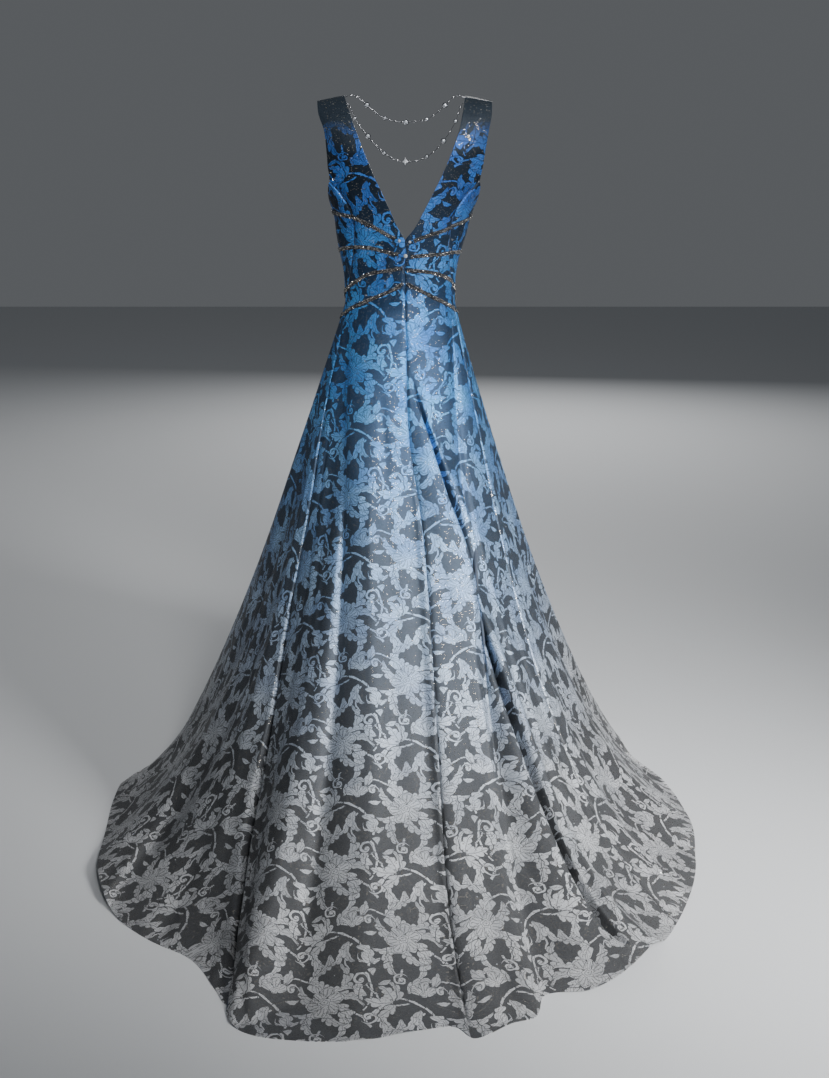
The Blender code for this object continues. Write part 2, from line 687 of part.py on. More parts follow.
def loft(name, sections, collection, material):
    """A closed bar through sections of equal numbers of corners, capped at both ends."""
    sides = len(sections[0])
    points = [p for section in sections for p in section]
    faces = []
    for k in range(len(sections) - 1):
        for s in range(sides):
            a, b = k * sides + s, k * sides + (s + 1) % sides
            faces += [(a, b, b + sides), (a, b + sides, a + sides)]
    last = (len(sections) - 1) * sides
    faces += [(0, s + 1, s) for s in range(1, sides - 1)]
    faces += [(last, last + s, last + s + 1) for s in range(1, sides - 1)]
    volume = sum(points[a].dot(points[b].cross(points[c])) for a, b, c in faces)
    if volume < 0:
        faces = [(a, c, b) for a, b, c in faces]
    mesh = bpy.data.meshes.new(name)
    mesh.from_pydata(points, [], faces)
    mesh.materials.append(material)
    collection.objects.link(bpy.data.objects.new(name, mesh))


def band(row, tree, collection, material):
    """One beaded band: a low bar with sloped edges along its path over the panels."""
    span = row.degrees[-1] - row.degrees[0]
    path = []
    for k in range(BAND_STEPS + 1):
        degrees = row.degrees[0] + span * k / BAND_STEPS
        path.append((degrees, smooth_value(row.degrees, row.drops, degrees)))
    middles = [on_panels(tree, row.side, *place) for place in path]
    sections = []
    for k, (middle, normal) in enumerate(middles):
        ahead = middles[min(k + 1, BAND_STEPS)][0] - middles[max(k - 1, 0)][0]
        up = normal.cross(ahead).normalized()
        if up.z < 0:
            up = -up
        section = []
        for reach, height in ((-1, 0.0), (-BAND_CREST, 1.0), (BAND_CREST, 1.0), (1, 0.0)):
            foot = tree.find_nearest(middle + up * (reach * BAND_HALF_WIDTH))[0]
            section.append(foot + normal * (TRIM_LIFT + height * BAND_HEIGHT))
        sections.append(section)
    loft(f"band_{side_name(row.side)}_{row.number}", sections, collection, material)


def crystal(row, tree, collection, material):
    """A faceted stone with a flat table, standing on the panels."""
    foot, normal = on_panels(tree, row.side, row.degrees, row.drop)
    bpy.ops.mesh.primitive_cone_add(
        vertices=8,
        radius1=row.radius,
        radius2=row.radius * CRYSTAL_TABLE,
        depth=row.height,
        location=foot + normal * (TRIM_LIFT + row.height / 2),
        rotation=normal.to_track_quat("Z", "Y").to_euler(),
    )
    place_in(row.name, collection, material)


def place_in(name, collection, material):
    """Names the active object, gives it its material and moves it to the collection."""
    piece = bpy.context.active_object
    piece.name = name
    piece.data.name = name
    piece.data.materials.append(material)
    for holder in list(piece.users_collection):
        holder.objects.unlink(piece)
    collection.objects.link(piece)
    return piece


# Strands and their beads
def strand_place(route, y, x):
    """A strand's point at a sideways place, with its direction."""
    keys, drops = [p.x for p in route], [p.drop for p in route]
    here = smooth_value(keys, drops, x)
    step = 0.001
    slope = (smooth_value(keys, drops, x + step) - smooth_value(keys, drops, x - step)) / (2 * step)
    return Vector((x, y, -here)), Vector((1.0, 0.0, -slope)).normalized()


def thread(name, route, y, collection, material):
    """A strand's thread, hanging between the inner corners of the two straps."""
    keys, drops = [p.x for p in route], [p.drop for p in route]
    fine = 400
    dense = [blend(keys[0], keys[-1], k / fine) for k in range(fine + 1)]
    dense = [Vector((x, y, -smooth_value(keys, drops, x))) for x in dense]
    run = [0.0]
    for a, b in zip(dense, dense[1:]):
        run.append(run[-1] + (b - a).length)
    count = round(run[-1] / THREAD_STEP)
    curve = bpy.data.curves.new(name, "CURVE")
    curve.dimensions = "3D"
    curve.bevel_depth = THREAD_RADIUS
    curve.bevel_resolution = 2
    curve.use_fill_caps = True
    spline = curve.splines.new("POLY")
    spline.points.add(count)
    for k in range(count + 1):
        at = run[-1] * k / count
        i = min(max(j for j in range(len(run)) if run[j] <= at + 1e-9), len(run) - 2)
        share = (at - run[i]) / (run[i + 1] - run[i])
        spline.points[k].co = (*dense[i].lerp(dense[i + 1], share), 1.0)
    curve.materials.append(material)
    collection.objects.link(bpy.data.objects.new(name, curve))


def bead(name, row, collection, material):
    """A round bead, bored along its strand: a turned half ring round the thread."""
    route, y = (UPPER_STRAND, UPPER_STRAND_Y) if row.strand == "upper" else (LOWER_STRAND, LOWER_STRAND_Y)
    place, along = strand_place(route, y, row.x)
    bore = THREAD_RADIUS + BEAD_CLEARANCE
    half = math.sqrt(row.radius**2 - bore**2) * 0.96
    rings = 5
    start = math.atan2(half, bore)
    profile = [(bore, half)]
    for k in range(1, rings):
        angle = blend(start, -start, k / rings)
        profile.append((row.radius * math.cos(angle), row.radius * math.sin(angle)))
    profile.append((bore, -half))
    mesh = bpy.data.meshes.new(name)
    count = len(profile)
    mesh.from_pydata(
        [(r, 0.0, z) for r, z in profile],
        [(k, (k + 1) % count) for k in range(count)],
        [],
    )
    mesh.materials.append(material)
    piece = bpy.data.objects.new(name, mesh)
    piece.location = place
    piece.rotation_euler = along.to_track_quat("Z", "Y").to_euler()
    turn = piece.modifiers.new("turn", "SCREW")
    turn.steps = BEAD_SEGMENTS
    turn.render_steps = BEAD_SEGMENTS
    turn.use_merge_vertices = True
    turn.merge_threshold = 0.00001
    collection.objects.link(piece)


def drop_stone(collection, material):
    """The four-pointed stone at the middle of the lower strand, lying just behind its thread."""
    place, _ = strand_place(LOWER_STRAND, LOWER_STRAND_Y, DROP_STONE_X)
    reach = THREAD_RADIUS + BEAD_CLEARANCE + DROP_STONE_THICKNESS / 2
    bpy.ops.mesh.primitive_cone_add(
        vertices=4,
        radius1=DROP_STONE_HALF_HEIGHT,
        radius2=DROP_STONE_HALF_HEIGHT * CRYSTAL_TABLE,
        depth=DROP_STONE_THICKNESS,
        location=place - Vector((0.0, reach, 0.0)),
        rotation=(math.pi / 2, 0.0, 0.0),
    )
    piece = place_in("drop_stone", collection, material)
    piece.scale.x = DROP_STONE_HALF_WIDTH / DROP_STONE_HALF_HEIGHT


def finish(name, colour, roughness, metallic):
    """A plain surface finish."""
    material = bpy.data.materials.new(name)
    material.use_nodes = True
    shader = material.node_tree.nodes["Principled BSDF"]
    shader.inputs["Base Color"].default_value = (*colour, 1.0)
    shader.inputs["Roughness"].default_value = roughness
    shader.inputs["Metallic"].default_value = metallic
    material.diffuse_color = (*colour, 1.0)
    return material


def clear_scene():
    """Empties the scene."""
    for piece in list(bpy.data.objects):
        bpy.data.objects.remove(piece, do_unlink=True)


def build():
    """Builds the gown."""
    clear_scene()
    gown = bpy.data.collections.new("prom_dress")
    bpy.context.scene.collection.children.link(gown)
    brocade = finish("brocade", (0.10, 0.19, 0.38), 0.5, 0.0)
    beading = finish("beading", (0.10, 0.10, 0.11), 0.35, 0.6)
    glass = finish("glass", (0.85, 0.88, 0.92), 0.1, 0.0)
    silver = finish("silver", (0.6, 0.6, 0.62), 0.25, 1.0)

    front_panel("front", gown, brocade)
    for side in (-1, 1):
        back = panel(f"back_{side_name(side)}", back_rows(side), gown, brocade)
        flank = panel(f"side_back_{side_name(side)}", side_rows(side), gown, brocade)
        shift = len(back[0])
        moved = [tuple(i + shift for i in t) for t in flank[1]]
        tree = BVHTree.FromPolygons(back[0] + flank[0], back[1] + moved)
        for row in BANDS:
            if row.side == side:
                band(row, tree, gown, beading)
        for row in CRYSTALS:
            if row.side == side:
                crystal(row, tree, gown, glass)

    thread("strand_upper", UPPER_STRAND, UPPER_STRAND_Y, gown, silver)
    thread("strand_lower", LOWER_STRAND, LOWER_STRAND_Y, gown, silver)
    for strand in ("upper", "lower"):
        own = [row for row in BEADS if row.strand == strand]
        for number, row in enumerate(own, 1):
            bead(f"bead_{strand}_{number}", row, gown, silver)
    drop_stone(gown, glass)


build()
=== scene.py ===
"""Looks of a sleeveless floral brocade gown: deep V back, bead strands, beaded bands, swept train.

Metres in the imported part's frame: the origin is halfway between the shoulder seams, the wearer faces +Y,
+X is the wearer's right, and the hem hangs just clear of the floor. Each cut piece is a thin shell on the
same form as its solid, with finer creases, and carries its flat-cut places as a UV map in metres.
"""

import logging
import math
from dataclasses import dataclass, field
from enum import Enum
from typing import NamedTuple

import bpy
import numpy as np
from bpy.types import Material, Object
from mathutils import Matrix, Vector
from mathutils.bvhtree import BVHTree


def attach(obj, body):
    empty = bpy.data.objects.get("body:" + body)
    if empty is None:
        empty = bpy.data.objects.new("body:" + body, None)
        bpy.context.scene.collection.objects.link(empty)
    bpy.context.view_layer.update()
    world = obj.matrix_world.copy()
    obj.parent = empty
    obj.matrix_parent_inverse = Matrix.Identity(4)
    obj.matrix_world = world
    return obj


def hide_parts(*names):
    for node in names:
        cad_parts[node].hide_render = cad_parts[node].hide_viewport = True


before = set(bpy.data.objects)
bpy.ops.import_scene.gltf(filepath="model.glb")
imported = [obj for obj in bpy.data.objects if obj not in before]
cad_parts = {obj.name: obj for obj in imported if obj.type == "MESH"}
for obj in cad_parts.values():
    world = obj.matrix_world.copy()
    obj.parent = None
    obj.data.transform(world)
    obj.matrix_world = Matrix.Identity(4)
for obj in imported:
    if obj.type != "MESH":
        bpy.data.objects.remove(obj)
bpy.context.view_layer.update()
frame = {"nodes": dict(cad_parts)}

Array = np.ndarray
Pair = tuple[float, float]
Triple = tuple[float, float, float]
Quad = tuple[float, float, float, float]
Pairs = tuple[Pair, ...]
Rows = tuple[Array, Array, tuple[int, int]]
log = logging.getLogger("gown")

ROOT = "root"
CLOTH_UV = "cloth"
MM = 0.001
TINY = 1e-12


class BodyRow(NamedTuple):
    """A level of the bodice: half widths and depths at a drop below the shoulders."""

    drop: float
    left: float
    right: float
    back: float
    front: float


class EdgeRow(NamedTuple):
    """A level of an edge on the two sides: a neck's half width, an armhole's sine or a seam's degrees."""

    drop: float
    left: float
    right: float


class HemRow(NamedTuple):
    """A line of cloth from the waist to the hem and how it falls."""

    degrees: float
    x: float
    y: float
    hip_out: float
    hip_down: float
    sweep_out: float
    sweep_down: float


class SkirtSeamRow(NamedTuple):
    """Where the skirt's seams lie along the hem, t of the way down the fall."""

    t: float
    centre: float
    left: float
    right: float


class Fold(NamedTuple):
    """A fold or crease: how far it stands out, its reaches, and its path as (t, station) pairs."""

    name: str
    depth: float
    left_reach: float
    right_reach: float
    path: Pairs


class BodiceCrease(NamedTuple):
    """A soft crease on the bodice: its side, depth, reach in degrees, and (drop, degrees) pairs."""

    side: int
    depth: float
    reach: float
    path: Pairs


BODY = (
    BodyRow(0.000, 0.212, 0.215, 0.098, 0.070),
    BodyRow(0.060, 0.208, 0.212, 0.101, 0.080),
    BodyRow(0.120, 0.198, 0.200, 0.106, 0.094),
    BodyRow(0.170, 0.178, 0.180, 0.109, 0.108),
    BodyRow(0.210, 0.161, 0.158, 0.109, 0.119),
    BodyRow(0.245, 0.150, 0.144, 0.107, 0.126),
    BodyRow(0.280, 0.146, 0.135, 0.104, 0.128),
    BodyRow(0.320, 0.139, 0.123, 0.099, 0.122),
    BodyRow(0.360, 0.131, 0.114, 0.094, 0.112),
    BodyRow(0.400, 0.128, 0.111, 0.091, 0.104),
    BodyRow(0.430, 0.128, 0.111, 0.090, 0.102),
)
BACK_V_EDGE = (
    EdgeRow(0.000, 0.127, 0.128),
    EdgeRow(0.071, 0.099, 0.112),
    EdgeRow(0.143, 0.070, 0.084),
    EdgeRow(0.212, 0.038, 0.049),
    EdgeRow(0.262, 0.015, 0.021),
    EdgeRow(0.287, 0.000, 0.000),
)
FRONT_V_EDGE = (
    EdgeRow(0.000, 0.127, 0.128),
    EdgeRow(0.050, 0.134, 0.135),
    EdgeRow(0.100, 0.127, 0.128),
    EdgeRow(0.150, 0.114, 0.115),
    EdgeRow(0.200, 0.096, 0.097),
    EdgeRow(0.250, 0.073, 0.074),
    EdgeRow(0.300, 0.045, 0.045),
    EdgeRow(0.335, 0.016, 0.016),
    EdgeRow(0.349, 0.000, 0.000),
)
BACK_ARMHOLE = (
    EdgeRow(0.000, 0.863, 0.863),
    EdgeRow(0.032, 0.850, 0.860),
    EdgeRow(0.067, 0.805, 0.840),
    EdgeRow(0.121, 0.815, 0.842),
    EdgeRow(0.170, 0.888, 0.894),
)
FRONT_ARMHOLE = (
    EdgeRow(0.000, 0.863, 0.863),
    EdgeRow(0.040, 0.840, 0.840),
    EdgeRow(0.090, 0.810, 0.810),
    EdgeRow(0.145, 0.830, 0.830),
    EdgeRow(0.185, 0.875, 0.875),
    EdgeRow(0.212, 0.950, 0.950),
    EdgeRow(0.222, 0.985, 0.985),
)
SIDE_BACK_SEAM = (
    EdgeRow(0.170, 62.6, 63.4),
    EdgeRow(0.198, 54.0, 54.0),
    EdgeRow(0.235, 48.0, 48.0),
    EdgeRow(0.300, 50.0, 50.0),
    EdgeRow(0.360, 64.0, 64.0),
    EdgeRow(0.400, 73.0, 73.0),
    EdgeRow(0.430, 78.0, 78.0),
)
HEM = (
    HemRow(-180.0, 0.0, 0.4, 0.3, 0.32, 0.64, 0.66),
    HemRow(-150.0, -0.185, 0.385, 0.3, 0.32, 0.64, 0.66),
    HemRow(-125.0, -0.37, 0.305, 0.28, 0.31, 0.62, 0.66),
    HemRow(-105.0, -0.51, 0.17, 0.26, 0.3, 0.6, 0.68),
    HemRow(-90.0, -0.58, 0.0, 0.24, 0.3, 0.58, 0.74),
    HemRow(-86.0, -0.642, -0.17, 0.21, 0.31, 0.43, 0.9),
    HemRow(-82.0, -0.632, -0.4, 0.17, 0.32, 0.42, 0.92),
    HemRow(-78.0, -0.605, -0.595, 0.14, 0.33, 0.42, 0.93),
    HemRow(-74.5, -0.55, -0.743, 0.12, 0.34, 0.44, 0.94),
    HemRow(-71.0, -0.466, -0.84, 0.1, 0.34, 0.46, 0.94),
    HemRow(-68.0, -0.38, -0.905, 0.09, 0.35, 0.49, 0.92),
    HemRow(-65.0, -0.325, -1.0, 0.08, 0.35, 0.5, 0.92),
    HemRow(-52.0, -0.27, -1.122, 0.08, 0.35, 0.5, 0.92),
    HemRow(-36.0, -0.18, -1.155, 0.08, 0.35, 0.5, 0.92),
    HemRow(-18.0, -0.05, -1.15, 0.08, 0.35, 0.5, 0.92),
    HemRow(0.0, 0.085, -1.114, 0.08, 0.35, 0.5, 0.92),
    HemRow(14.0, 0.122, -1.148, 0.08, 0.35, 0.5, 0.92),
    HemRow(36.0, 0.185, -1.105, 0.08, 0.35, 0.5, 0.92),
    HemRow(54.0, 0.228, -1.085, 0.08, 0.35, 0.5, 0.92),
    HemRow(65.0, 0.25, -1.02, 0.08, 0.35, 0.5, 0.92),
    HemRow(68.0, 0.334, -1.008, 0.09, 0.35, 0.49, 0.92),
    HemRow(71.0, 0.42, -0.941, 0.1, 0.34, 0.46, 0.94),
    HemRow(75.0, 0.518, -0.775, 0.12, 0.34, 0.44, 0.94),
    HemRow(79.0, 0.59, -0.565, 0.14, 0.33, 0.42, 0.93),
    HemRow(83.0, 0.609, -0.33, 0.17, 0.32, 0.4, 0.93),
    HemRow(86.5, 0.598, -0.17, 0.19, 0.31, 0.44, 0.9),
    HemRow(90.0, 0.545, 0.0, 0.2, 0.3, 0.49, 0.85),
    HemRow(105.0, 0.5, 0.18, 0.24, 0.3, 0.6, 0.72),
    HemRow(125.0, 0.375, 0.305, 0.28, 0.31, 0.62, 0.68),
    HemRow(150.0, 0.185, 0.385, 0.3, 0.32, 0.64, 0.66),
    HemRow(180.0, 0.0, 0.4, 0.3, 0.32, 0.64, 0.66),
)
SKIRT_SEAMS = (
    SkirtSeamRow(0.00, 0.000, -1.003, 0.796),
    SkirtSeamRow(0.10, 0.000, -1.060, 0.860),
    SkirtSeamRow(0.20, 0.000, -1.050, 0.860),
    SkirtSeamRow(0.33, 0.035, -0.925, 0.770),
    SkirtSeamRow(0.45, 0.045, -0.830, 0.710),
    SkirtSeamRow(0.61, 0.040, -0.713, 0.660),
    SkirtSeamRow(0.80, 0.025, -0.620, 0.630),
    SkirtSeamRow(0.90, 0.028, -0.540, 0.625),
    SkirtSeamRow(1.00, 0.040, -0.440, 0.625),
)
FOLDS = (
    Fold("centre_fold", 0.034, 0.12, 0.05,
         ((0.1, -0.01), (0.22, 0.08), (0.4, 0.225), (0.6, 0.34), (0.83, 0.395), (1.0, 0.48))),
    Fold("centre_back_dip", -0.007, 0.05, 0.05, ((0.08, 0.0), (0.35, 0.035), (1.0, 0.04))),
    Fold("left_seam_dip", -0.014, 0.08, 0.06, ((0.1, -1.06), (0.45, -0.83), (1.0, -0.44))),
    Fold("soft_valley", -0.022, 0.08, 0.07,
         ((0.12, -0.52), (0.31, -0.375), (0.52, -0.312), (1.0, -0.285))),
    Fold("left_crest", 0.014, 0.09, 0.08, ((0.2, -0.73), (0.6, -0.52), (1.0, -0.38))),
    Fold("left_outer_dip", -0.014, 0.07, 0.07, ((0.3, -1.25), (0.6, -1.04), (0.95, -0.95))),
    Fold("left_train_ridge", 0.016, 0.11, 0.11, ((0.6, -1.23), (0.82, -1.13), (1.0, -1.0))),
    Fold("right_outer_dip", -0.014, 0.08, 0.08, ((0.25, 0.98), (0.6, 0.88), (0.95, 0.83))),
    Fold("right_crest", 0.016, 0.09, 0.1, ((0.3, 1.1), (0.65, 1.05), (1.0, 1.01))),
    Fold("left_side_wave", -0.014, 0.09, 0.09, ((0.3, -1.6), (1.0, -1.57))),
    Fold("right_side_wave", -0.014, 0.09, 0.09, ((0.3, 1.43), (1.0, 1.4))),
    Fold("front_left_wave", -0.013, 0.08, 0.08, ((0.22, -1.96), (1.0, -1.94))),
    Fold("front_left_crest", 0.012, 0.07, 0.07, ((0.35, -2.12), (1.0, -2.13))),
    Fold("front_right_wave", -0.012, 0.08, 0.08, ((0.28, 1.7), (1.0, 1.72))),
    Fold("front_right_crest", 0.014, 0.07, 0.07, ((0.25, 1.9), (1.0, 1.93))),
)
# The deep crack where the cloth of the large fold meets, as (share of the fall, distance along the hem)
CRACK = (
    (0.09, -0.006), (0.16, 0.046), (0.21, 0.086), (0.31, 0.146), (0.42, 0.216), (0.51, 0.29),
    (0.6, 0.324), (0.72, 0.353), (0.84, 0.374), (0.92, 0.397), (0.985, 0.43),
)
# Finer creases, set one by one: uneven in length, depth and spacing, on the hidden sides too
CREASES = (
    Fold("fold_crack", -0.047, 0.0064, 0.005, CRACK),
    Fold("fold_crack_middle", -0.026, 0.011, 0.007,
         ((0.34, 0.166), (0.42, 0.216), (0.51, 0.29), (0.6, 0.324), (0.72, 0.353), (0.8, 0.367))),
    Fold("fold_roll", 0.012, 0.016, 0.03,
         ((0.16, 0.068), (0.31, 0.172), (0.51, 0.32), (0.72, 0.385), (0.92, 0.432), (0.99, 0.47))),
    Fold("fold_shoulder", 0.0045, 0.034, 0.016,
         ((0.2, 0.06), (0.42, 0.19), (0.6, 0.296), (0.84, 0.346), (0.97, 0.392))),
    Fold("beside_fold_1", -0.004, 0.022, 0.022, ((0.22, 0.01), (0.5, 0.13), (0.8, 0.205))),
    Fold("beside_fold_2", 0.0034, 0.024, 0.02, ((0.35, 0.09), (0.62, 0.19), (0.94, 0.29))),
    Fold("below_fold_1", 0.004, 0.03, 0.024, ((0.3, 0.34), (0.55, 0.47), (0.85, 0.54))),
    Fold("below_fold_2", -0.0036, 0.024, 0.026, ((0.42, 0.52), (0.7, 0.59), (0.98, 0.6))),
    Fold("centre_left_1", -0.0044, 0.03, 0.034, ((0.1, -0.18), (0.42, -0.105), (0.78, -0.09))),
    Fold("centre_left_2", 0.0036, 0.028, 0.024, ((0.24, -0.23), (0.55, -0.17), (1.0, -0.16))),
    Fold("valley_edge", -0.009, 0.018, 0.026, ((0.26, -0.405), (0.52, -0.322), (0.9, -0.292))),
    Fold("left_panel_1", 0.004, 0.032, 0.026, ((0.3, -0.56), (0.62, -0.43), (0.95, -0.35))),
    Fold("left_panel_2", -0.0036, 0.024, 0.024, ((0.16, -0.82), (0.48, -0.64), (0.82, -0.54))),
    Fold("left_seam_edge", -0.026, 0.0105, 0.0095,
         ((0.1, -1.06), (0.2, -1.05), (0.33, -0.925), (0.45, -0.83), (0.61, -0.713), (0.8, -0.62),
          (0.9, -0.54), (1.0, -0.44))),
    Fold("left_side_1", 0.005, 0.03, 0.034, ((0.2, -1.15), (0.5, -0.9), (0.92, -0.64))),
    Fold("left_side_2", -0.0056, 0.024, 0.03, ((0.34, -1.12), (0.6, -0.94), (0.78, -0.86))),
    Fold("left_side_3", 0.0048, 0.03, 0.026, ((0.44, -1.32), (0.72, -1.13), (1.0, -0.9))),
    Fold("left_side_4", -0.004, 0.028, 0.024, ((0.24, -1.42), (0.58, -1.33), (0.9, -1.28))),
    Fold("left_side_5", 0.0044, 0.026, 0.032, ((0.5, -1.5), (0.8, -1.44), (1.0, -1.43))),
    Fold("train_left_1", -0.005, 0.03, 0.024, ((0.8, -0.76), (0.92, -0.72), (1.0, -0.7))),
    Fold("train_left_2", 0.0046, 0.024, 0.03, ((0.84, -0.56), (1.0, -0.51))),
    Fold("train_left_3", -0.006, 0.024, 0.02, ((0.86, -0.47), (0.94, -0.4), (1.0, -0.35))),
    Fold("train_mid_1", 0.0044, 0.03, 0.03, ((0.86, -0.13), (1.0, -0.09))),
    Fold("train_mid_2", -0.0046, 0.022, 0.022, ((0.84, 0.11), (1.0, 0.14))),
    Fold("right_side_1", 0.005, 0.034, 0.026, ((0.22, 0.9), (0.55, 0.76), (0.96, 0.7))),
    Fold("right_side_2", -0.005, 0.026, 0.03, ((0.36, 0.93), (0.66, 0.81), (0.9, 0.76))),
    Fold("right_side_3", 0.0046, 0.026, 0.03, ((0.3, 1.23), (0.6, 1.16), (0.88, 1.13))),
    Fold("right_side_4", -0.0044, 0.03, 0.022, ((0.48, 1.3), (0.76, 1.26), (1.0, 1.24))),
    Fold("train_right_1", 0.0056, 0.026, 0.02, ((0.82, 0.62), (0.92, 0.68), (1.0, 0.74))),
    Fold("train_right_2", -0.0044, 0.024, 0.03, ((0.84, 0.88), (1.0, 0.91))),
    Fold("front_1", -0.0042, 0.03, 0.026, ((0.16, -1.84), (0.5, -1.85), (0.88, -1.83))),
    Fold("front_2", 0.0038, 0.026, 0.03, ((0.36, -2.01), (0.7, -2.02), (1.0, -2.03))),
    Fold("front_3", -0.004, 0.026, 0.026, ((0.26, -2.23), (0.64, -2.22), (0.94, -2.24))),
    Fold("front_4", 0.0042, 0.03, 0.024, ((0.44, -2.32), (1.0, -2.31))),
    Fold("front_5", -0.0038, 0.024, 0.03, ((0.2, 1.62), (0.56, 1.61), (0.86, 1.63))),
    Fold("front_6", 0.004, 0.028, 0.026, ((0.4, 1.78), (0.74, 1.8), (1.0, 1.79))),
    Fold("front_7", -0.0044, 0.026, 0.024, ((0.3, 2.03), (0.68, 2.04), (0.97, 2.06))),
)
BODICE_CREASES = (
    BodiceCrease(-1, -0.0034, 5.0, ((0.15, 60.0), (0.215, 50.0), (0.3, 51.0), (0.35, 60.0))),
    BodiceCrease(-1, 0.0018, 6.0, ((0.18, 44.0), (0.25, 38.0), (0.33, 40.0))),
    BodiceCrease(-1, -0.0016, 3.5, ((0.292, 17.0), (0.345, 19.0))),
    BodiceCrease(-1, -0.0014, 3.0, ((0.318, 27.0), (0.372, 34.0))),
    BodiceCrease(-1, 0.0014, 4.0, ((0.25, 72.0), (0.34, 76.0), (0.405, 84.0))),
    BodiceCrease(-1, -0.0018, 4.0, ((0.36, 12.0), (0.415, 15.0))),
    BodiceCrease(1, -0.0026, 5.0, ((0.15, 61.0), (0.22, 50.0), (0.3, 52.0), (0.36, 64.0))),
    BodiceCrease(1, 0.0016, 6.0, ((0.19, 40.0), (0.27, 35.0), (0.33, 38.0))),
    BodiceCrease(1, -0.0014, 3.5, ((0.296, 22.0), (0.35, 20.0))),
    BodiceCrease(1, -0.0016, 3.5, ((0.35, 10.0), (0.412, 14.0))),
    BodiceCrease(1, 0.0012, 4.0, ((0.33, 70.0), (0.41, 80.0))),
    BodiceCrease(-1, -0.0022, 6.0, ((0.24, 108.0), (0.32, 112.0), (0.4, 108.0))),
    BodiceCrease(1, -0.0024, 6.0, ((0.236, 109.0), (0.31, 114.0), (0.395, 110.0))),
    BodiceCrease(-1, 0.002, 8.0, ((0.3, 132.0), (0.36, 136.0), (0.415, 140.0))),
    BodiceCrease(1, 0.0018, 8.0, ((0.29, 134.0), (0.35, 137.0), (0.41, 138.0))),
    BodiceCrease(-1, -0.0016, 5.0, ((0.35, 158.0), (0.418, 164.0))),
    BodiceCrease(1, -0.0014, 5.0, ((0.356, 162.0), (0.42, 160.0))),
)


def ease(share: Array) -> Array:
    """A smooth step from 0 to 1."""
    share = np.clip(share, 0.0, 1.0)
    return share * share * (3 - 2 * share)


def blend(a: Array, b: Array, share: Array) -> Array:
    """The value a share of the way from a to b."""
    return a + (b - a) * share


def bezier(b: Array, c: Array, t: Array) -> Array:
    """A cubic curve from 0 to 1 with inner handles b and c."""
    s = 1 - t
    return 3 * s * s * t * b + 3 * s * t * t * c + t * t * t


def unit(vectors: Array) -> Array:
    """Vectors at length 1."""
    return vectors / np.maximum(np.linalg.norm(vectors, axis=-1, keepdims=True), TINY)


@dataclass(frozen=True)
class Track:
    """A smooth curve through the rows of a table, held level past both ends."""

    keys: tuple[float, ...]
    values: tuple[float, ...]

    @classmethod
    def of(cls, rows: tuple, name: str) -> "Track":
        """The curve of one named column.

        Args:
            rows: the table, whose first column is the key.
            name: the column's name.

        Returns:
            The curve.
        """
        return cls(tuple(row[0] for row in rows), tuple(getattr(row, name) for row in rows))

    @classmethod
    def through(cls, pairs: Pairs) -> "Track":
        """The curve through (key, value) pairs."""
        return cls(tuple(pair[0] for pair in pairs), tuple(pair[1] for pair in pairs))

    def __call__(self, key: Array) -> Array:
        """The values at an array of keys."""
        keys, values = np.array(self.keys), np.array(self.values)
        key = np.clip(key, keys[0], keys[-1])
        i = np.clip(np.searchsorted(keys, key, side="right") - 1, 0, len(keys) - 2)
        steps = np.diff(values) / np.diff(keys)
        inner = (values[2:] - values[:-2]) / (keys[2:] - keys[:-2])
        slopes = np.concatenate((steps[:1], inner, steps[-1:]))
        span = keys[i + 1] - keys[i]
        s = (key - keys[i]) / span
        s2, s3 = s * s, s * s * s
        rise = (2 * s3 - 3 * s2 + 1) * values[i] + (3 * s2 - 2 * s3) * values[i + 1]
        return rise + span * ((s3 - 2 * s2 + s) * slopes[i] + (s3 - s2) * slopes[i + 1])


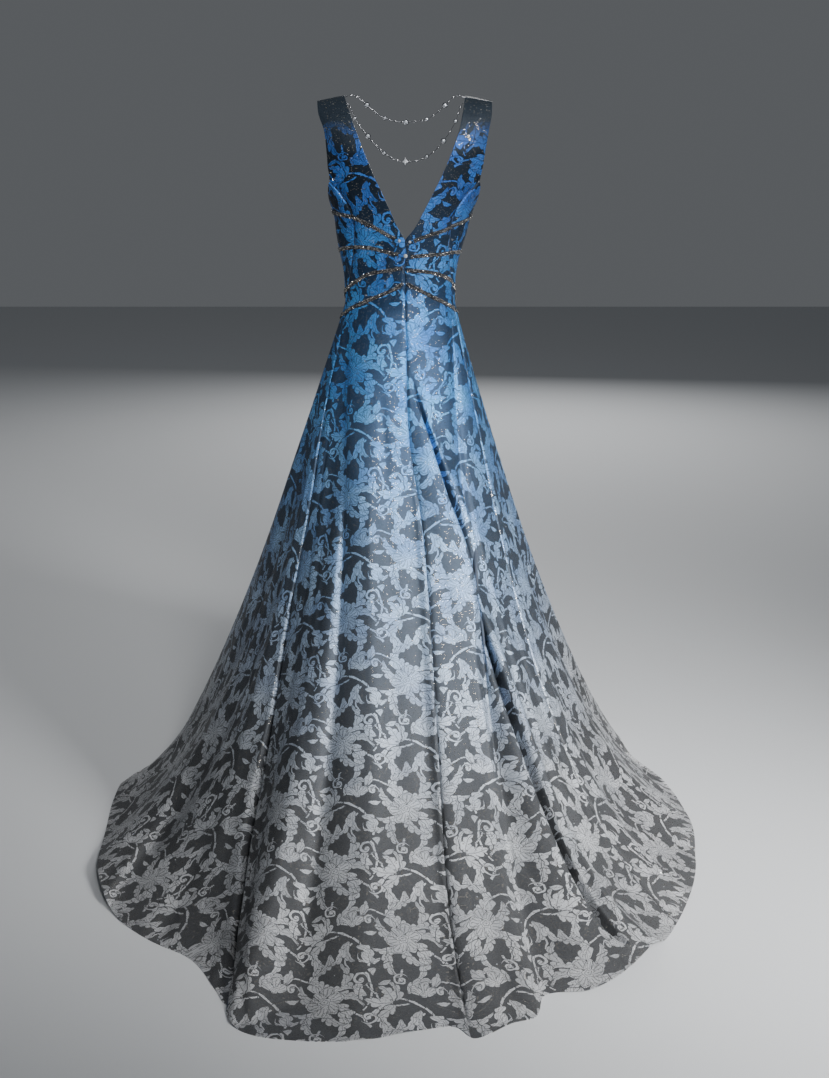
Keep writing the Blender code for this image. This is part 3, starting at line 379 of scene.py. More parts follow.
@dataclass(frozen=True)
class GownForm:
    """The filled-out form that every cut piece lies on."""

    hem_drop: float = 1.4975
    waist_drop: float = 0.430
    underarm_drop: float = 0.222
    side_back_drop: float = 0.170
    seam_gap: float = 0.0003
    shoulder_arch: float = 0.110
    shoulder_slope: float = 0.20
    strap_middle: float = 0.155
    slope_fade: float = 0.060
    centre_back_x: float = 0.003
    side_seam_degrees: float = 100.0
    fold_onset: float = 0.28
    crease_onset: float = 0.14
    fold_fade: float = 0.10
    fold_waist_share: float = 0.30
    crease_fade: float = 0.012
    upward_lean: float = 0.6
    probe: float = 0.0005
    search_depth: float = 0.5
    search_steps: int = 24

    def stations(self) -> Array:
        """The distance of each hem row along the hem from the centre back, left negative."""
        places = np.array([(row.x, row.y) for row in HEM])
        run = np.concatenate(([0.0], np.cumsum(np.linalg.norm(np.diff(places, axis=0), axis=1))))
        return run - run[[row.degrees for row in HEM].index(0.0)]

    def hem(self, name: str, station: Array) -> Array:
        """A named column of the hem table at distances along the hem."""
        return Track(tuple(self.stations()), tuple(getattr(row, name) for row in HEM))(station)

    def station_of(self, degrees: float) -> float:
        """The distance along the hem of the line of cloth at a signed angle round the waist."""
        return float(Track(tuple(row.degrees for row in HEM), tuple(self.stations()))(np.array(degrees)))

    def seam(self, name: str, t: Array) -> Array:
        """The distance along the hem of a named seam, t of the way down."""
        return Track.of(SKIRT_SEAMS, name)(t)

    def body(self, side: Array, angle: Array, drop: Array) -> Array:
        """Points on the form above the waist.

        Args:
            side: -1 for left and 1 for right, seen from behind.
            angle: radians from the centre back to the centre front.
            drop: distance below the shoulders.

        Returns:
            The points, with a last axis of three.
        """
        half = np.where(side < 0, Track.of(BODY, "left")(drop), Track.of(BODY, "right")(drop))
        back, front = Track.of(BODY, "back")(drop), Track.of(BODY, "front")(drop)
        low = 1 - np.clip(drop / self.shoulder_arch, 0.0, 1.0)
        arch = np.sqrt(np.maximum(0.0, 1 - low * low))
        x = side * half * np.sin(angle) + self.centre_back_x * np.cos(angle) ** 2
        y = -np.where(angle < np.pi / 2, back, front) * arch * np.cos(angle)
        fade = 1 - np.minimum(1.0, drop / self.slope_fade)
        z = -drop - self.shoulder_slope * (np.abs(x) - self.strap_middle) * fade
        return np.stack(np.broadcast_arrays(x, y, z), axis=-1)

    def plain_skirt(self, station: Array, t: Array) -> Array:
        """Points on the skirt before its folds, t of the way down its fall."""
        degrees = self.hem("degrees", station)
        side = np.where(degrees < 0, -1.0, 1.0)
        waist = self.body(side, np.radians(np.abs(degrees)), np.full_like(degrees, self.waist_drop))
        out = bezier(self.hem("hip_out", station), self.hem("sweep_out", station), t)
        down = bezier(self.hem("hip_down", station), self.hem("sweep_down", station), t)
        x = blend(waist[..., 0], self.hem("x", station), out)
        y = blend(waist[..., 1], self.hem("y", station), out)
        return np.stack((x, y, -blend(self.waist_drop, self.hem_drop, down)), axis=-1)

    def fold_height(self, folds: tuple[Fold, ...], onset: float, station: Array, t: Array) -> Array:
        """How far the cloth stands out of its plain form.

        Args:
            folds: the table of folds.
            onset: the share of the fall over which a fold grows to its depth.
            station: distances along the hem.
            t: shares of the fall.

        Returns:
            The heights.
        """
        height = np.zeros_like(station)
        for fold in folds:
            start, end = fold.path[0][0], fold.path[-1][0]
            rise = ease((t - start) / onset)
            fade = 1.0 if end >= 1.0 else ease((end - t) / self.fold_fade)
            centre = Track.through(fold.path)(t)
            reach = np.where(station < centre, fold.left_reach, fold.right_reach)
            depth = fold.depth * blend(self.fold_waist_share, 1.0, t)
            height = height + depth * rise * fade * np.exp(-(((station - centre) / reach) ** 2))
        return height

    def skirt(self, station: Array, t: Array) -> Array:
        """Points on the skirt with its folds and creases, never below the hem's level."""
        station, t = np.broadcast_arrays(station, t)
        plain = self.plain_skirt(station, t)
        across = self.plain_skirt(station + self.probe, t) - self.plain_skirt(station - self.probe, t)
        down = self.plain_skirt(station, t + self.probe) - self.plain_skirt(station, t - self.probe)
        normal = unit(np.cross(across, down))
        outward = unit(plain * (1.0, 1.0, 0.0)) + (0.0, 0.0, self.upward_lean)
        normal = normal * np.where(np.sum(normal * outward, axis=-1, keepdims=True) < 0, -1.0, 1.0)
        height = self.fold_height(FOLDS, self.fold_onset, station, t)
        height = height + self.fold_height(CREASES, self.crease_onset, station, t)
        points = plain + normal * height[..., None]
        points[..., 2] = np.maximum(points[..., 2], -self.hem_drop)
        return points

    def crease_height(self, side: float, degrees: Array, drop: Array) -> Array:
        """How far the bodice's soft creases stand out or in."""
        height = np.zeros(np.broadcast_shapes(degrees.shape, drop.shape))
        past = self.crease_fade
        for crease in BODICE_CREASES:
            if crease.side != side:
                continue
            start, end = crease.path[0][0], crease.path[-1][0]
            centre = Track.through(crease.path)(drop)
            fade = ease((drop - start + past) / (2 * past)) * ease((end + past - drop) / (2 * past))
            height = height + crease.depth * fade * np.exp(-(((degrees - centre) / crease.reach) ** 2))
        return height

    def place(self, side: int, degrees: float, drop: float) -> Vector:
        """A point of the form on the bodice, or just below the waist on the skirt."""
        if drop <= self.waist_drop:
            return Vector(self.body(np.array(float(side)), np.array(math.radians(degrees)), np.array(drop)))
        station, low, high = self.station_of(side * degrees), 0.0, self.search_depth
        for _ in range(self.search_steps):
            middle = (low + high) / 2
            if -self.skirt(np.array([station]), np.array([middle]))[0, 2] < drop:
                low = middle
            else:
                high = middle
        return Vector(self.skirt(np.array([station]), np.array([low]))[0])


@dataclass
class Draft:
    """Points, faces and material numbers gathered into one mesh."""

    points: list = field(default_factory=list)
    faces: list = field(default_factory=list)
    slots: list = field(default_factory=list)

    def add(self, points: list, faces: list, matrix: Matrix = Matrix(), slot: int = 0) -> None:
        """Adds a copy of a shape.

        Args:
            points: its points.
            faces: its faces, numbered from its first point.
            matrix: where the copy goes.
            slot: its material's number.
        """
        first = len(self.points)
        self.points += [matrix @ Vector(p) for p in points]
        self.faces += [tuple(first + i for i in face) for face in faces]
        self.slots += [slot] * len(faces)

    def build(self, name: str, materials: list, smooth: bool = True) -> Object:
        """Makes the mesh and its object.

        Args:
            name: the piece's name.
            materials: its materials in order.
            smooth: whether the faces are shaded as one curved surface.

        Returns:
            The object, linked to the scene.
        """
        mesh = bpy.data.meshes.new(name)
        mesh.from_pydata(self.points, [], self.faces)
        for material in materials:
            mesh.materials.append(material)
        mesh.polygons.foreach_set("material_index", self.slots)
        mesh.polygons.foreach_set("use_smooth", [smooth] * len(self.faces))
        mesh.update()
        return new_object(name, mesh)


def new_object(name: str, data: bpy.types.ID) -> Object:
    """A new object in the scene that shows a mesh, curve, light or camera."""
    made = bpy.data.objects.new(name, data)
    bpy.context.scene.collection.objects.link(made)
    return made


def grid_faces(rows: int, columns: int) -> Array:
    """The four corners of each cell of a grid numbered row by row."""
    first = (np.arange(rows - 1)[:, None] * columns + np.arange(columns - 1)[None, :]).ravel()
    return np.stack((first, first + 1, first + columns + 1, first + columns), axis=1)


@dataclass(frozen=True)
class FlatCut:
    """Lays a grid of points flat, as the cutter's pattern for it, keeping its lengths."""

    coarse_rows: int = 58
    coarse_columns: int = 15
    passes: int = 420
    pull: float = 1.3
    shortest: float = 1e-6

    def lay(self, points: Array, straight_from: int | None = None) -> Array:
        """The flat places of a grid of points.

        Args:
            points: the grid, rows from the top down.
            straight_from: the first row whose last column is held on a straight line, if any.

        Returns:
            The places in metres, with +v up the piece.
        """
        rows = np.unique(np.linspace(0, points.shape[0] - 1, self.coarse_rows).round().astype(int))
        columns = np.unique(np.linspace(0, points.shape[1] - 1, self.coarse_columns).round().astype(int))
        grid = points[np.ix_(rows, columns)]
        height, width = grid.shape[:2]
        middle = width - 1 if straight_from is not None else width // 2
        across = np.linalg.norm(np.diff(grid, axis=1), axis=-1)
        u = np.concatenate((np.zeros((height, 1)), np.cumsum(across, axis=1)), axis=1)
        u = u - u[:, middle : middle + 1]
        down = np.linalg.norm(np.diff(grid[:, middle], axis=0), axis=-1)
        v = -np.concatenate(([0.0], np.cumsum(down)))
        flat = np.stack((u, np.repeat(v[:, None], width, axis=1)), axis=-1).reshape(-1, 2)
        number = np.arange(height * width).reshape(height, width)
        ways = (
            (number[:, :-1], number[:, 1:]),
            (number[:-1], number[1:]),
            (number[:-1, :-1], number[1:, 1:]),
            (number[:-1, 1:], number[1:, :-1]),
        )
        pairs = np.concatenate([np.stack((a.ravel(), b.ravel()), axis=1) for a, b in ways])
        solid = grid.reshape(-1, 3)
        rest = np.linalg.norm(solid[pairs[:, 0]] - solid[pairs[:, 1]], axis=1)
        held = number[rows >= (straight_from or 0), -1] if straight_from is not None else None
        share = np.bincount(pairs.ravel(), minlength=len(flat))[:, None]
        for _ in range(self.passes):
            gap = flat[pairs[:, 1]] - flat[pairs[:, 0]]
            length = np.maximum(np.linalg.norm(gap, axis=1), self.shortest)
            move = gap * (0.5 * (length - rest) / length)[:, None]
            total = np.zeros_like(flat)
            for k in (0, 1):
                total[:, k] += np.bincount(pairs[:, 0], move[:, k], len(flat))
                total[:, k] -= np.bincount(pairs[:, 1], move[:, k], len(flat))
            flat = flat + self.pull * total / share
            if held is not None:
                flat[held, 0] = 0.0
        flat = flat.reshape(height, width, 2)
        wide = np.empty((height, points.shape[1], 2))
        fine = np.empty((*points.shape[:2], 2))
        for k in (0, 1):
            for r in range(height):
                wide[r, :, k] = np.interp(np.arange(points.shape[1]), columns, flat[r, :, k])
            for c in range(points.shape[1]):
                fine[:, c, k] = np.interp(np.arange(points.shape[0]), rows, wide[:, c, k])
        return fine


@dataclass
class CutPiece:
    """A cut piece of the gown: a thin shell with a lining inside."""

    form: GownForm
    node: str
    side: int
    columns: int
    flat: Pair = (1.0, 1.0)
    area: float = 1.0
    pattern_shift: Pair = (0.0, 0.0)
    skirt_rows: int = 230
    hem_crowding: float = 0.85
    row_step: float = 0.0059
    arch_rows: int = 13
    edge_shares: tuple[float, ...] = (0.0, 0.003, 0.008, 0.015)
    even_from: float = 0.025
    waist_reach: int = 6
    waist_passes: int = 4
    shell: float = 1.2 * MM
    seam_dip: float = 2.4 * MM
    seam_reach: float = 3.2 * MM
    pucker: float = 0.45 * MM
    pucker_length: float = 0.034
    pucker_reach: float = 0.012
    pucker_wander: float = 1.7
    pucker_turns: float = 19.0
    sharp_degrees: float = 50.0
    join_row: int = 0
    outer: Array | None = None
    quads: Array | None = None

    @property
    def side_name(self) -> str:
        """The side as the tables name it."""
        return "left" if self.side < 0 else "right"

    def shares(self) -> Array:
        """Where the columns lie across the piece, closer together beside its two edges."""
        close = np.array(self.edge_shares)
        even = np.linspace(self.even_from, 1 - self.even_from, self.columns)
        return np.concatenate((close, even, 1 - close[::-1]))

    def falls(self) -> Array:
        """The rows down the skirt, closer together towards the hem."""
        return np.linspace(0.0, 1.0, self.skirt_rows + 1) ** self.hem_crowding

    def strap_drops(self, bottom: float) -> Array:
        """Drops of the rows that round the top of the shoulder, then of those down to a level."""
        arch = self.form.shoulder_arch
        turns = np.linspace(self.form.seam_gap / BODY[0].front, np.pi / 2, self.arch_rows)
        return np.concatenate((arch * (1 - np.cos(turns))[:-1], self.between(arch, bottom)))

    def edge_angle(self, edge: tuple, drop: Array) -> Array:
        """The angle from the centre line at which the form is as wide as a neck edge."""
        wide, body = Track.of(edge, self.side_name)(drop), Track.of(BODY, self.side_name)(drop)
        return np.arcsin(np.minimum(1.0, wide / body))

    def armhole_angle(self, edge: tuple, drop: Array) -> Array:
        """The angle of an armhole edge from the centre line."""
        return np.arcsin(Track.of(edge, self.side_name)(drop))

    def seam_angle(self, drop: Array) -> Array:
        """The angle of the side back seam on the bodice."""
        return np.radians(Track.of(SIDE_BACK_SEAM, self.side_name)(drop))

    def stations(self, t: Array) -> tuple[Array, Array]:
        """The stations of the piece's two edges down the skirt."""
        raise NotImplementedError

    def drawn_in(self, shares: Array, t: Array) -> Array:
        """The columns of each skirt row, drawn together where a piece has a sharp crease."""
        return np.broadcast_to(shares, (len(t), len(shares)))

    def bodice(self, waist_shares: Array) -> Rows:
        """Angles and drops of the rows above the waist, and the rows where its seams start or -1."""
        raise NotImplementedError

    def between(self, top: float, bottom: float) -> Array:
        """Drops from one level to just above another, a row's step apart."""
        count = max(2, round((bottom - top) / self.row_step))
        return np.linspace(top, bottom, count, endpoint=False)

    def grid(self) -> tuple[Array, tuple[int, int]]:
        """The outer points of the piece, row by row, and the rows where its two seams start."""
        form, c = self.form, self.shares()
        start, end = self.stations(np.zeros(1))
        degrees = np.abs(form.hem("degrees", blend(start[0], end[0], c)))
        angles, drops, seams = self.bodice((degrees - degrees[0]) / (degrees[-1] - degrees[0]))
        top = form.body(np.array(float(self.side)), angles, drops)
        height = form.crease_height(self.side, np.degrees(angles), drops)
        top = top + self.normals(top) * height[..., None]
        t = self.falls()[:, None]
        start, end = self.stations(t)
        points = np.concatenate((top, form.skirt(blend(start, end, self.drawn_in(c, t)), t)))
        first, last = len(top) - self.waist_reach, len(top) + self.waist_reach
        for _ in range(self.waist_passes):
            near = points[first - 1 : last + 1]
            points[first:last] = (near[:-2] + 2 * near[1:-1] + near[2:]) / 4
        return points, seams

    def normals(self, points: Array) -> Array:
        """Outward unit normals of a grid of points."""
        normal = unit(np.cross(np.gradient(points, axis=1), np.gradient(points, axis=0)))
        return normal * np.sign(np.sum(normal * points * (1.0, 1.0, 0.0)))

    def sewn(self, points: Array, seams: tuple[int, int]) -> Array:
        """The grid with its seam edges a thread's gap apart, rolled in and slightly puckered."""
        step = np.linalg.norm(np.diff(points, axis=1), axis=-1)
        run = np.concatenate((np.zeros((len(points), 1)), np.cumsum(step, axis=1)), axis=1)
        fall = np.linalg.norm(np.diff(points[:, 0], axis=0), axis=-1)
        fall = np.concatenate(([0.0], np.cumsum(fall)))[:, None]
        normal = self.normals(points)
        wander = self.pucker_wander * np.sin(fall * self.pucker_turns)
        wave = np.sin(2 * np.pi * fall / self.pucker_length + wander)
        result = points.copy()
        two_edges = ((seams[0], run, 0, 1), (seams[1], run[:, -1:] - run, -1, -2))
        for first, away, edge, inner in two_edges:
            if first < 0:
                continue
            dip = self.seam_dip * np.exp(-((away / self.seam_reach) ** 2))
            dip = dip + self.pucker * wave * np.exp(-((away / self.pucker_reach) ** 2))
            dip[:first] = 0.0
            result -= normal * dip[..., None]
            along = unit(points[first:, inner] - points[first:, edge])
            result[first:, edge] += along * self.form.seam_gap / 2
        result[..., 2] = np.maximum(result[..., 2], -self.form.hem_drop)
        return result

    def shell_object(self, grids: list[Array], flats: list[Array], materials: list) -> Object:
        """Makes the closed shell from one grid, or from two halves that share their last column.

        Args:
            grids: the outer points of each half.
            flats: their flat places.
            materials: the outer cloth and the lining.

        Returns:
            The object, with its flat places as a UV map.
        """
        outer = np.concatenate([grid.reshape(-1, 3) for grid in grids])
        inner = np.concatenate([(g - self.normals(g) * self.shell).reshape(-1, 3) for g in grids])
        places = np.concatenate([flat.reshape(-1, 2) for flat in flats])
        halves, first = [], 0
        for number, grid in enumerate(grids):
            faces = grid_faces(*grid.shape[:2]) + first
            halves.append(faces[:, ::-1] if number else faces)
            first += grid.shape[0] * grid.shape[1]
        quads = self.joined(grids, outer)[np.concatenate(halves)]
        a, b, c = outer[quads[:, 0]], outer[quads[:, 1]], outer[quads[:, 2]]
        turn = np.sum(np.cross(b - a, c - a) * ((a + b + c) / 3 * (1.0, 1.0, 0.0)))
        if turn < 0:
            quads = quads[:, ::-1]
        edges = np.stack((quads, np.roll(quads, -1, axis=1)), axis=-1).reshape(-1, 2)
        known = {tuple(edge) for edge in edges.tolist()}
        rim = [(i, j) for i, j in known if (j, i) not in known]
        count = len(outer)
        faces = quads.tolist() + (quads[:, ::-1] + count).tolist()
        faces += [(j, i, i + count, j + count) for i, j in sorted(rim)]
        slots = [0] * len(quads) + [1] * len(quads) + [0] * len(rim)
        draft = Draft(np.concatenate((outer, inner)).tolist(), faces, slots)
        piece = draft.build(f"{self.node}_cloth", materials)
        mesh = piece.data
        layer = mesh.uv_layers.new(name=CLOTH_UV)
        corners = np.empty(len(mesh.loops), dtype=np.int64)
        mesh.loops.foreach_get("vertex_index", corners)
        both = np.concatenate((places, places)) + self.pattern_shift
        layer.data.foreach_set("uv", both[corners].astype(np.float32).ravel())
        mesh.set_sharp_from_angle(angle=math.radians(self.sharp_degrees))
        self.outer = outer
        self.quads = quads
        return piece

    def joined(self, grids: list[Array], outer: Array) -> Array:
        """The number that each point goes by, with shared points of two halves given one number."""
        names = np.arange(len(outer))
        if len(grids) == 2:
            rows, columns = grids[0].shape[:2]
            for row in range(self.join_row, rows):
                shared = (row + 1) * columns - 1
                names[rows * columns + shared] = shared
        return names

    def dress(self, piece: Object) -> None:
        """Hangs the piece on the root, hides its imported part and logs its faces."""
        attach(piece, ROOT)
        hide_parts(self.node)
        log.info("%s: %d faces", piece.name, len(piece.data.polygons))

    def build(self, materials: list) -> Object:
        """Builds the piece and logs its flat cut."""
        points, seams = self.grid()
        flat = FlatCut().lay(points)
        piece = self.shell_object([self.sewn(points, seams)], [flat], materials)
        self.measure([flat])
        return piece

    def measure(self, flats: list[Array]) -> None:
        """Logs the size of the flat cut."""
        area, low, high = 0.0, np.full(2, np.inf), np.full(2, -np.inf)
        for flat in flats:
            a, b, c, d = flat[:-1, :-1], flat[:-1, 1:], flat[1:, 1:], flat[1:, :-1]
            one, two = c - a, d - b
            area += float(np.abs(one[..., 0] * two[..., 1] - one[..., 1] * two[..., 0]).sum() / 2)
            low, high = np.minimum(low, flat.min(axis=(0, 1))), np.maximum(high, flat.max(axis=(0, 1)))
        width = high[0] - low[0] if len(flats) == 1 else 2 * (high[0] - low[0])
        log.info("%s flat cut %.3f by %.3f m, %.3f m2", self.node, width, high[1] - low[1], area)


@dataclass
class BackPiece(CutPiece):
    """The back between the centre back seam and a side back seam, with its shoulder strap."""

    gather: float = 6.5
    gather_reach: float = 0.045
    gather_samples: int = 500

    def stations(self, t: Array) -> tuple[Array, Array]:
        """The stations of the centre back and the side back seam."""
        return self.form.seam("centre", t), self.form.seam(self.side_name, t)

    def bodice(self, waist_shares: Array) -> Rows:
        """Angles and drops of the strap and the bodice."""
        form = self.form
        strap = self.strap_drops(form.side_back_drop)
        low = self.between(form.side_back_drop, form.waist_drop)
        drop = np.concatenate((strap, low))[:, None]
        inner = self.edge_angle(BACK_V_EDGE, drop)
        outer = np.where(
            drop < form.side_back_drop, self.armhole_angle(BACK_ARMHOLE, drop), self.seam_angle(drop)
        )
        seam_row = int(np.searchsorted(drop[:, 0], BACK_V_EDGE[-1].drop))
        angles = blend(inner, outer, waist_shares[None, :])
        return angles, np.broadcast_to(drop, angles.shape), (seam_row, len(strap))

    def drawn_in(self, shares: Array, t: Array) -> Array:
        """The columns drawn together along the crack of the large fold."""
        if self.side < 0:
            return super().drawn_in(shares, t)
        start, end = self.stations(t)
        crack = Track.through(CRACK)(t)
        fine = np.linspace(0.0, 1.0, self.gather_samples)[None, :]
        near = np.exp(-(((fine - (crack - start) / (end - start)) / self.gather_reach) ** 2))
        density = 1 + self.gather * ease((t - CRACK[0][0]) / self.form.crease_onset) * near
        run = np.cumsum(density, axis=1)
        run = (run - run[:, :1]) / (run[:, -1:] - run[:, :1])
        return np.stack([np.interp(shares, row, fine[0]) for row in run])


@dataclass
class SideBackPiece(CutPiece):
    """The side back between a side back seam and a side seam."""

    def stations(self, t: Array) -> tuple[Array, Array]:
        """The stations of the side back seam and the side seam."""
        end = self.form.station_of(self.side * self.form.side_seam_degrees)
        return self.form.seam(self.side_name, t), np.full_like(t, end)

    def bodice(self, waist_shares: Array) -> Rows:
        """Angles and drops under the armhole's lower edge."""
        form = self.form
        first = self.between(form.side_back_drop, form.waist_drop)[:, None]
        share = (first - form.side_back_drop) / (form.waist_drop - form.side_back_drop)
        top = blend(form.side_back_drop, form.underarm_drop, np.sin(np.pi / 2 * waist_shares))[None, :]
        drops = blend(top, form.waist_drop, share)
        end = math.radians(form.side_seam_degrees)
        return blend(self.seam_angle(first), end, waist_shares[None, :]), drops, (0, 0)


@dataclass
class FrontPiece(CutPiece):
    """The front, whose two halves are one piece from the bottom of the V down."""

    def stations(self, t: Array) -> tuple[Array, Array]:
        """The stations of the side seam and the centre front."""
        start = self.form.station_of(self.side * self.form.side_seam_degrees)
        end = self.form.station_of(self.side * 180.0)
        return np.full_like(t, start), np.full_like(t, end)

    def bodice(self, waist_shares: Array) -> Rows:
        """Angles and drops of the strap and the bodice."""
        form = self.form
        strap = self.strap_drops(form.underarm_drop)
        low = self.between(form.underarm_drop, form.waist_drop)
        drop = np.concatenate((strap, low))[:, None]
        side_seam = math.radians(form.side_seam_degrees)
        outer = np.where(
            drop < form.underarm_drop, np.pi - self.armhole_angle(FRONT_ARMHOLE, drop), side_seam
        )
        inner = np.pi - self.edge_angle(FRONT_V_EDGE, drop)
        angles = blend(outer, inner, waist_shares[None, :])
        self.join_row = int(np.searchsorted(drop[:, 0], FRONT_V_EDGE[-1].drop))
        return angles, np.broadcast_to(drop, angles.shape), (len(strap), -1)

    def build(self, materials: list) -> Object:
        """Builds both halves as one piece."""
        grids, flats = [], []
        for side in (-1, 1):
            self.side = side
            points, seams = self.grid()
            flat = FlatCut().lay(points, self.join_row)
            flats.append(flat * (1.0 if side < 0 else -1.0, 1.0))
            sewn = self.sewn(points, seams)
            if grids:
                sewn[self.join_row :, -1] = grids[0][self.join_row :, -1]
            grids.append(sewn)
        self.side = -1
        piece = self.shell_object(grids, flats, materials)
        self.measure([flats[0], flats[1] * (-1.0, 1.0)])
        return piece


class Surface:
    """The outer faces of some built pieces, for laying trim on them."""

    def __init__(self, form: GownForm, pieces: list[CutPiece]) -> None:
        """Gathers the outer faces of the pieces."""
        self.form = form
        points: list = []
        faces: list = []
        for piece in pieces:
            first = len(points)
            points += piece.outer.tolist()
            faces += (piece.quads + first).tolist()
        self.tree = BVHTree.FromPolygons(points, faces)

    def nearest(self, point: Vector) -> tuple[Vector, Vector]:
        """The nearest point of the cloth and its outward normal."""
        found, normal, _, _ = self.tree.find_nearest(point)
        if normal.dot(Vector((point.x, point.y, 0.0))) < 0:
            normal = -normal
        return found, normal

    def at(self, side: int, degrees: float, drop: float) -> tuple[Vector, Vector]:
        """The point of the cloth at a place round the body, with its normal."""
        return self.nearest(self.form.place(side, degrees, drop))


def srgb(code: str) -> Quad:
    """The linear colour of an sRGB hex value."""
    parts = (int(code[i : i + 2], 16) / 255 for i in (1, 3, 5))
    linear = [p / 12.92 if p <= 0.04045 else ((p + 0.055) / 1.055) ** 2.4 for p in parts]
    return (*linear, 1.0)


class Nodes:
    """A material or node group being wired."""

    def __init__(self, tree: bpy.types.NodeTree) -> None:
        """Starts on a node tree."""
        self.tree = tree

    def add(self, kind: str, *inputs: object, out: int | str = 0, **settings: object) -> object:
        """Adds a node with its settings and links.

        Args:
            kind: the node's type without its ShaderNode prefix, or a Math operation in capitals.
            inputs: values or sockets for its inputs in order, with None to leave one as it is.
            out: the output to return.
            settings: the node's own settings.

        Returns:
            The chosen output socket.
        """
        if kind.isupper():
            settings["operation"], kind = kind, "Math"
        node = self.tree.nodes.new(f"ShaderNode{kind}")
        for name, value in settings.items():
            setattr(node, name, value)
        for socket, value in zip(node.inputs, inputs):
            if isinstance(value, bpy.types.NodeSocket):
                self.tree.links.new(value, socket)
            elif value is not None:
                socket.default_value = value
        return node.outputs[out]


@dataclass(frozen=True)
class PlainFinish:
    """A finish of one colour: its shader values."""

    name: str
    colour: str
    roughness: float
    metallic: float = 0.0
    ior: float = 1.5
    coat: float = 0.0

    def make(self) -> tuple[Material, Nodes, bpy.types.Node]:
        """The material, its tree and its shader."""
        material = bpy.data.materials.new(self.name)
        material.use_nodes = True
        shader = material.node_tree.nodes["Principled BSDF"]
        shader.inputs["Base Color"].default_value = srgb(self.colour)
        values = {
            "Roughness": self.roughness, "Metallic": self.metallic, "IOR": self.ior, "Coat Weight": self.coat,
        }
        for name, value in values.items():
            shader.inputs[name].default_value = value
        material.diffuse_color = srgb(self.colour)
        return material, Nodes(material.node_tree), shader


@dataclass
class BeadStrand:
    """A limp strand of wire links and beads, hung across the open back between the straps."""

    name: str
    y: float
    route: Pairs
    length: float
    stones: tuple[tuple[str, float, float], ...]
    wire_radius: float = 0.6 * MM
    wire_rounding: int = 2
    steps: int = 40
    samples: int = 600
    measure_steps: int = 400
    link_spacing: float = 13.6 * MM
    link_radii: tuple[float, ...] = (2.3 * MM, 2.5 * MM, 2.2 * MM)
    link_stretch: float = 1.35
    link_clearance: float = 0.5 * MM
    link_detail: int = 2
    cup: Pairs = (
        (0.0, -0.62), (0.55, -0.60), (0.86, -0.35), (0.98, 0.05), (0.99, 0.42), (0.90, 0.56),
        (0.74, 0.50), (0.70, 0.34), (0.0, 0.30),
    )
    cup_sides: int = 20
    gem: Pairs = ((0.0, 0.88), (0.30, 0.84), (0.52, 0.68), (0.69, 0.44), (0.60, 0.20), (0.0, 0.10))
    gem_sides: int = 9
    drop_node: str = "drop_stone"
    drop_forward: float = 1.4 * MM

    def point(self, x: float) -> Vector:
        """The strand's middle at a sideways place."""
        return Vector((x, self.y, -float(Track.through(self.route)(np.array(x)))))

    def spaced(self, count: int) -> list[Vector]:
        """Points along the strand at even distances."""
        xs = np.linspace(self.route[0][0], self.route[-1][0], self.samples)
        dense = np.array([self.point(float(x)) for x in xs])
        run = np.concatenate(([0.0], np.cumsum(np.linalg.norm(np.diff(dense, axis=0), axis=1))))
        at = np.linspace(0.0, run[-1], count + 1)
        return [Vector([float(np.interp(s, run, dense[:, k])) for k in range(3)]) for s in at]

    def wire(self, metal: Material) -> Object:
        """The strand's wire as one curve."""
        curve = bpy.data.curves.new(f"{self.name}_wire", "CURVE")
        curve.dimensions = "3D"
        curve.bevel_depth = self.wire_radius
        curve.bevel_resolution = self.wire_rounding
        curve.use_fill_caps = True
        points = self.spaced(self.steps)
        spline = curve.splines.new("POLY")
        spline.points.add(len(points) - 1)
        for spot, place in zip(spline.points, points):
            spot.co = (*place, 1.0)
        curve.materials.append(metal)
        return new_object(f"{self.name}_wire", curve)

    def links(self, metal: Material) -> Object:
        """The small round beads between the stones."""
        draft = Draft()
        ball = ball_shape(self.link_detail)
        places = self.spaced(round(self.length / self.link_spacing))
        for number, place in enumerate(places[1:-1]):
            near = min(abs(place.x - x) - radius for _, x, radius in self.stones)
            if near > self.link_clearance:
                radius = self.link_radii[number % len(self.link_radii)]
                along = places[number + 2] - places[number]
                turn = along.to_track_quat("X", "Z").to_matrix().to_4x4()
                size = Matrix.Diagonal((self.link_stretch * radius, radius, radius, 1.0))
                draft.add(*ball, Matrix.Translation(place) @ turn @ size)
        return draft.build(f"{self.name}_links", [metal])

    def set_stones(self, metal: Material, glass: Material) -> list[Object]:
        """The larger stones, each in a round cup with its face to the back."""
        pieces = []
        for node, x, radius in self.stones:
            place = self.point(x)
            turn = Matrix.Rotation(math.pi / 2, 4, "X")
            draft = Draft()
            if node == self.drop_node:
                forward = Vector((0.0, self.drop_forward, 0.0))
                LozengeSetting().add_to(draft, Matrix.Translation(place - forward) @ turn)
            else:
                size = Matrix.Diagonal((radius, radius, radius, 1.0))
                draft.add(*turned(self.cup, self.cup_sides), Matrix.Translation(place) @ turn @ size, 0)
                draft.add(*turned(self.gem, self.gem_sides), Matrix.Translation(place) @ turn @ size, 1)
            piece = draft.build(f"{node}_set", [metal, glass], smooth=False)
            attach(piece, ROOT)
            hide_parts(node)
            pieces.append(piece)
        return pieces

    def build(self, metal: Material, bead: Material, glass: Material) -> None:
        """Builds the strand, hangs its pieces on the root, hides its imported parts and logs its length."""
        wire, links = self.wire(metal), self.links(bead)
        stones = self.set_stones(metal, glass)
        for piece in (wire, links):
            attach(piece, ROOT)
        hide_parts(self.name)
        tuple(self.point(self.route[0][0]))
        run = self.spaced(self.measure_steps)
        log.info("%s %.4f m", self.name, sum((b - a).length for a, b in zip(run, run[1:])))


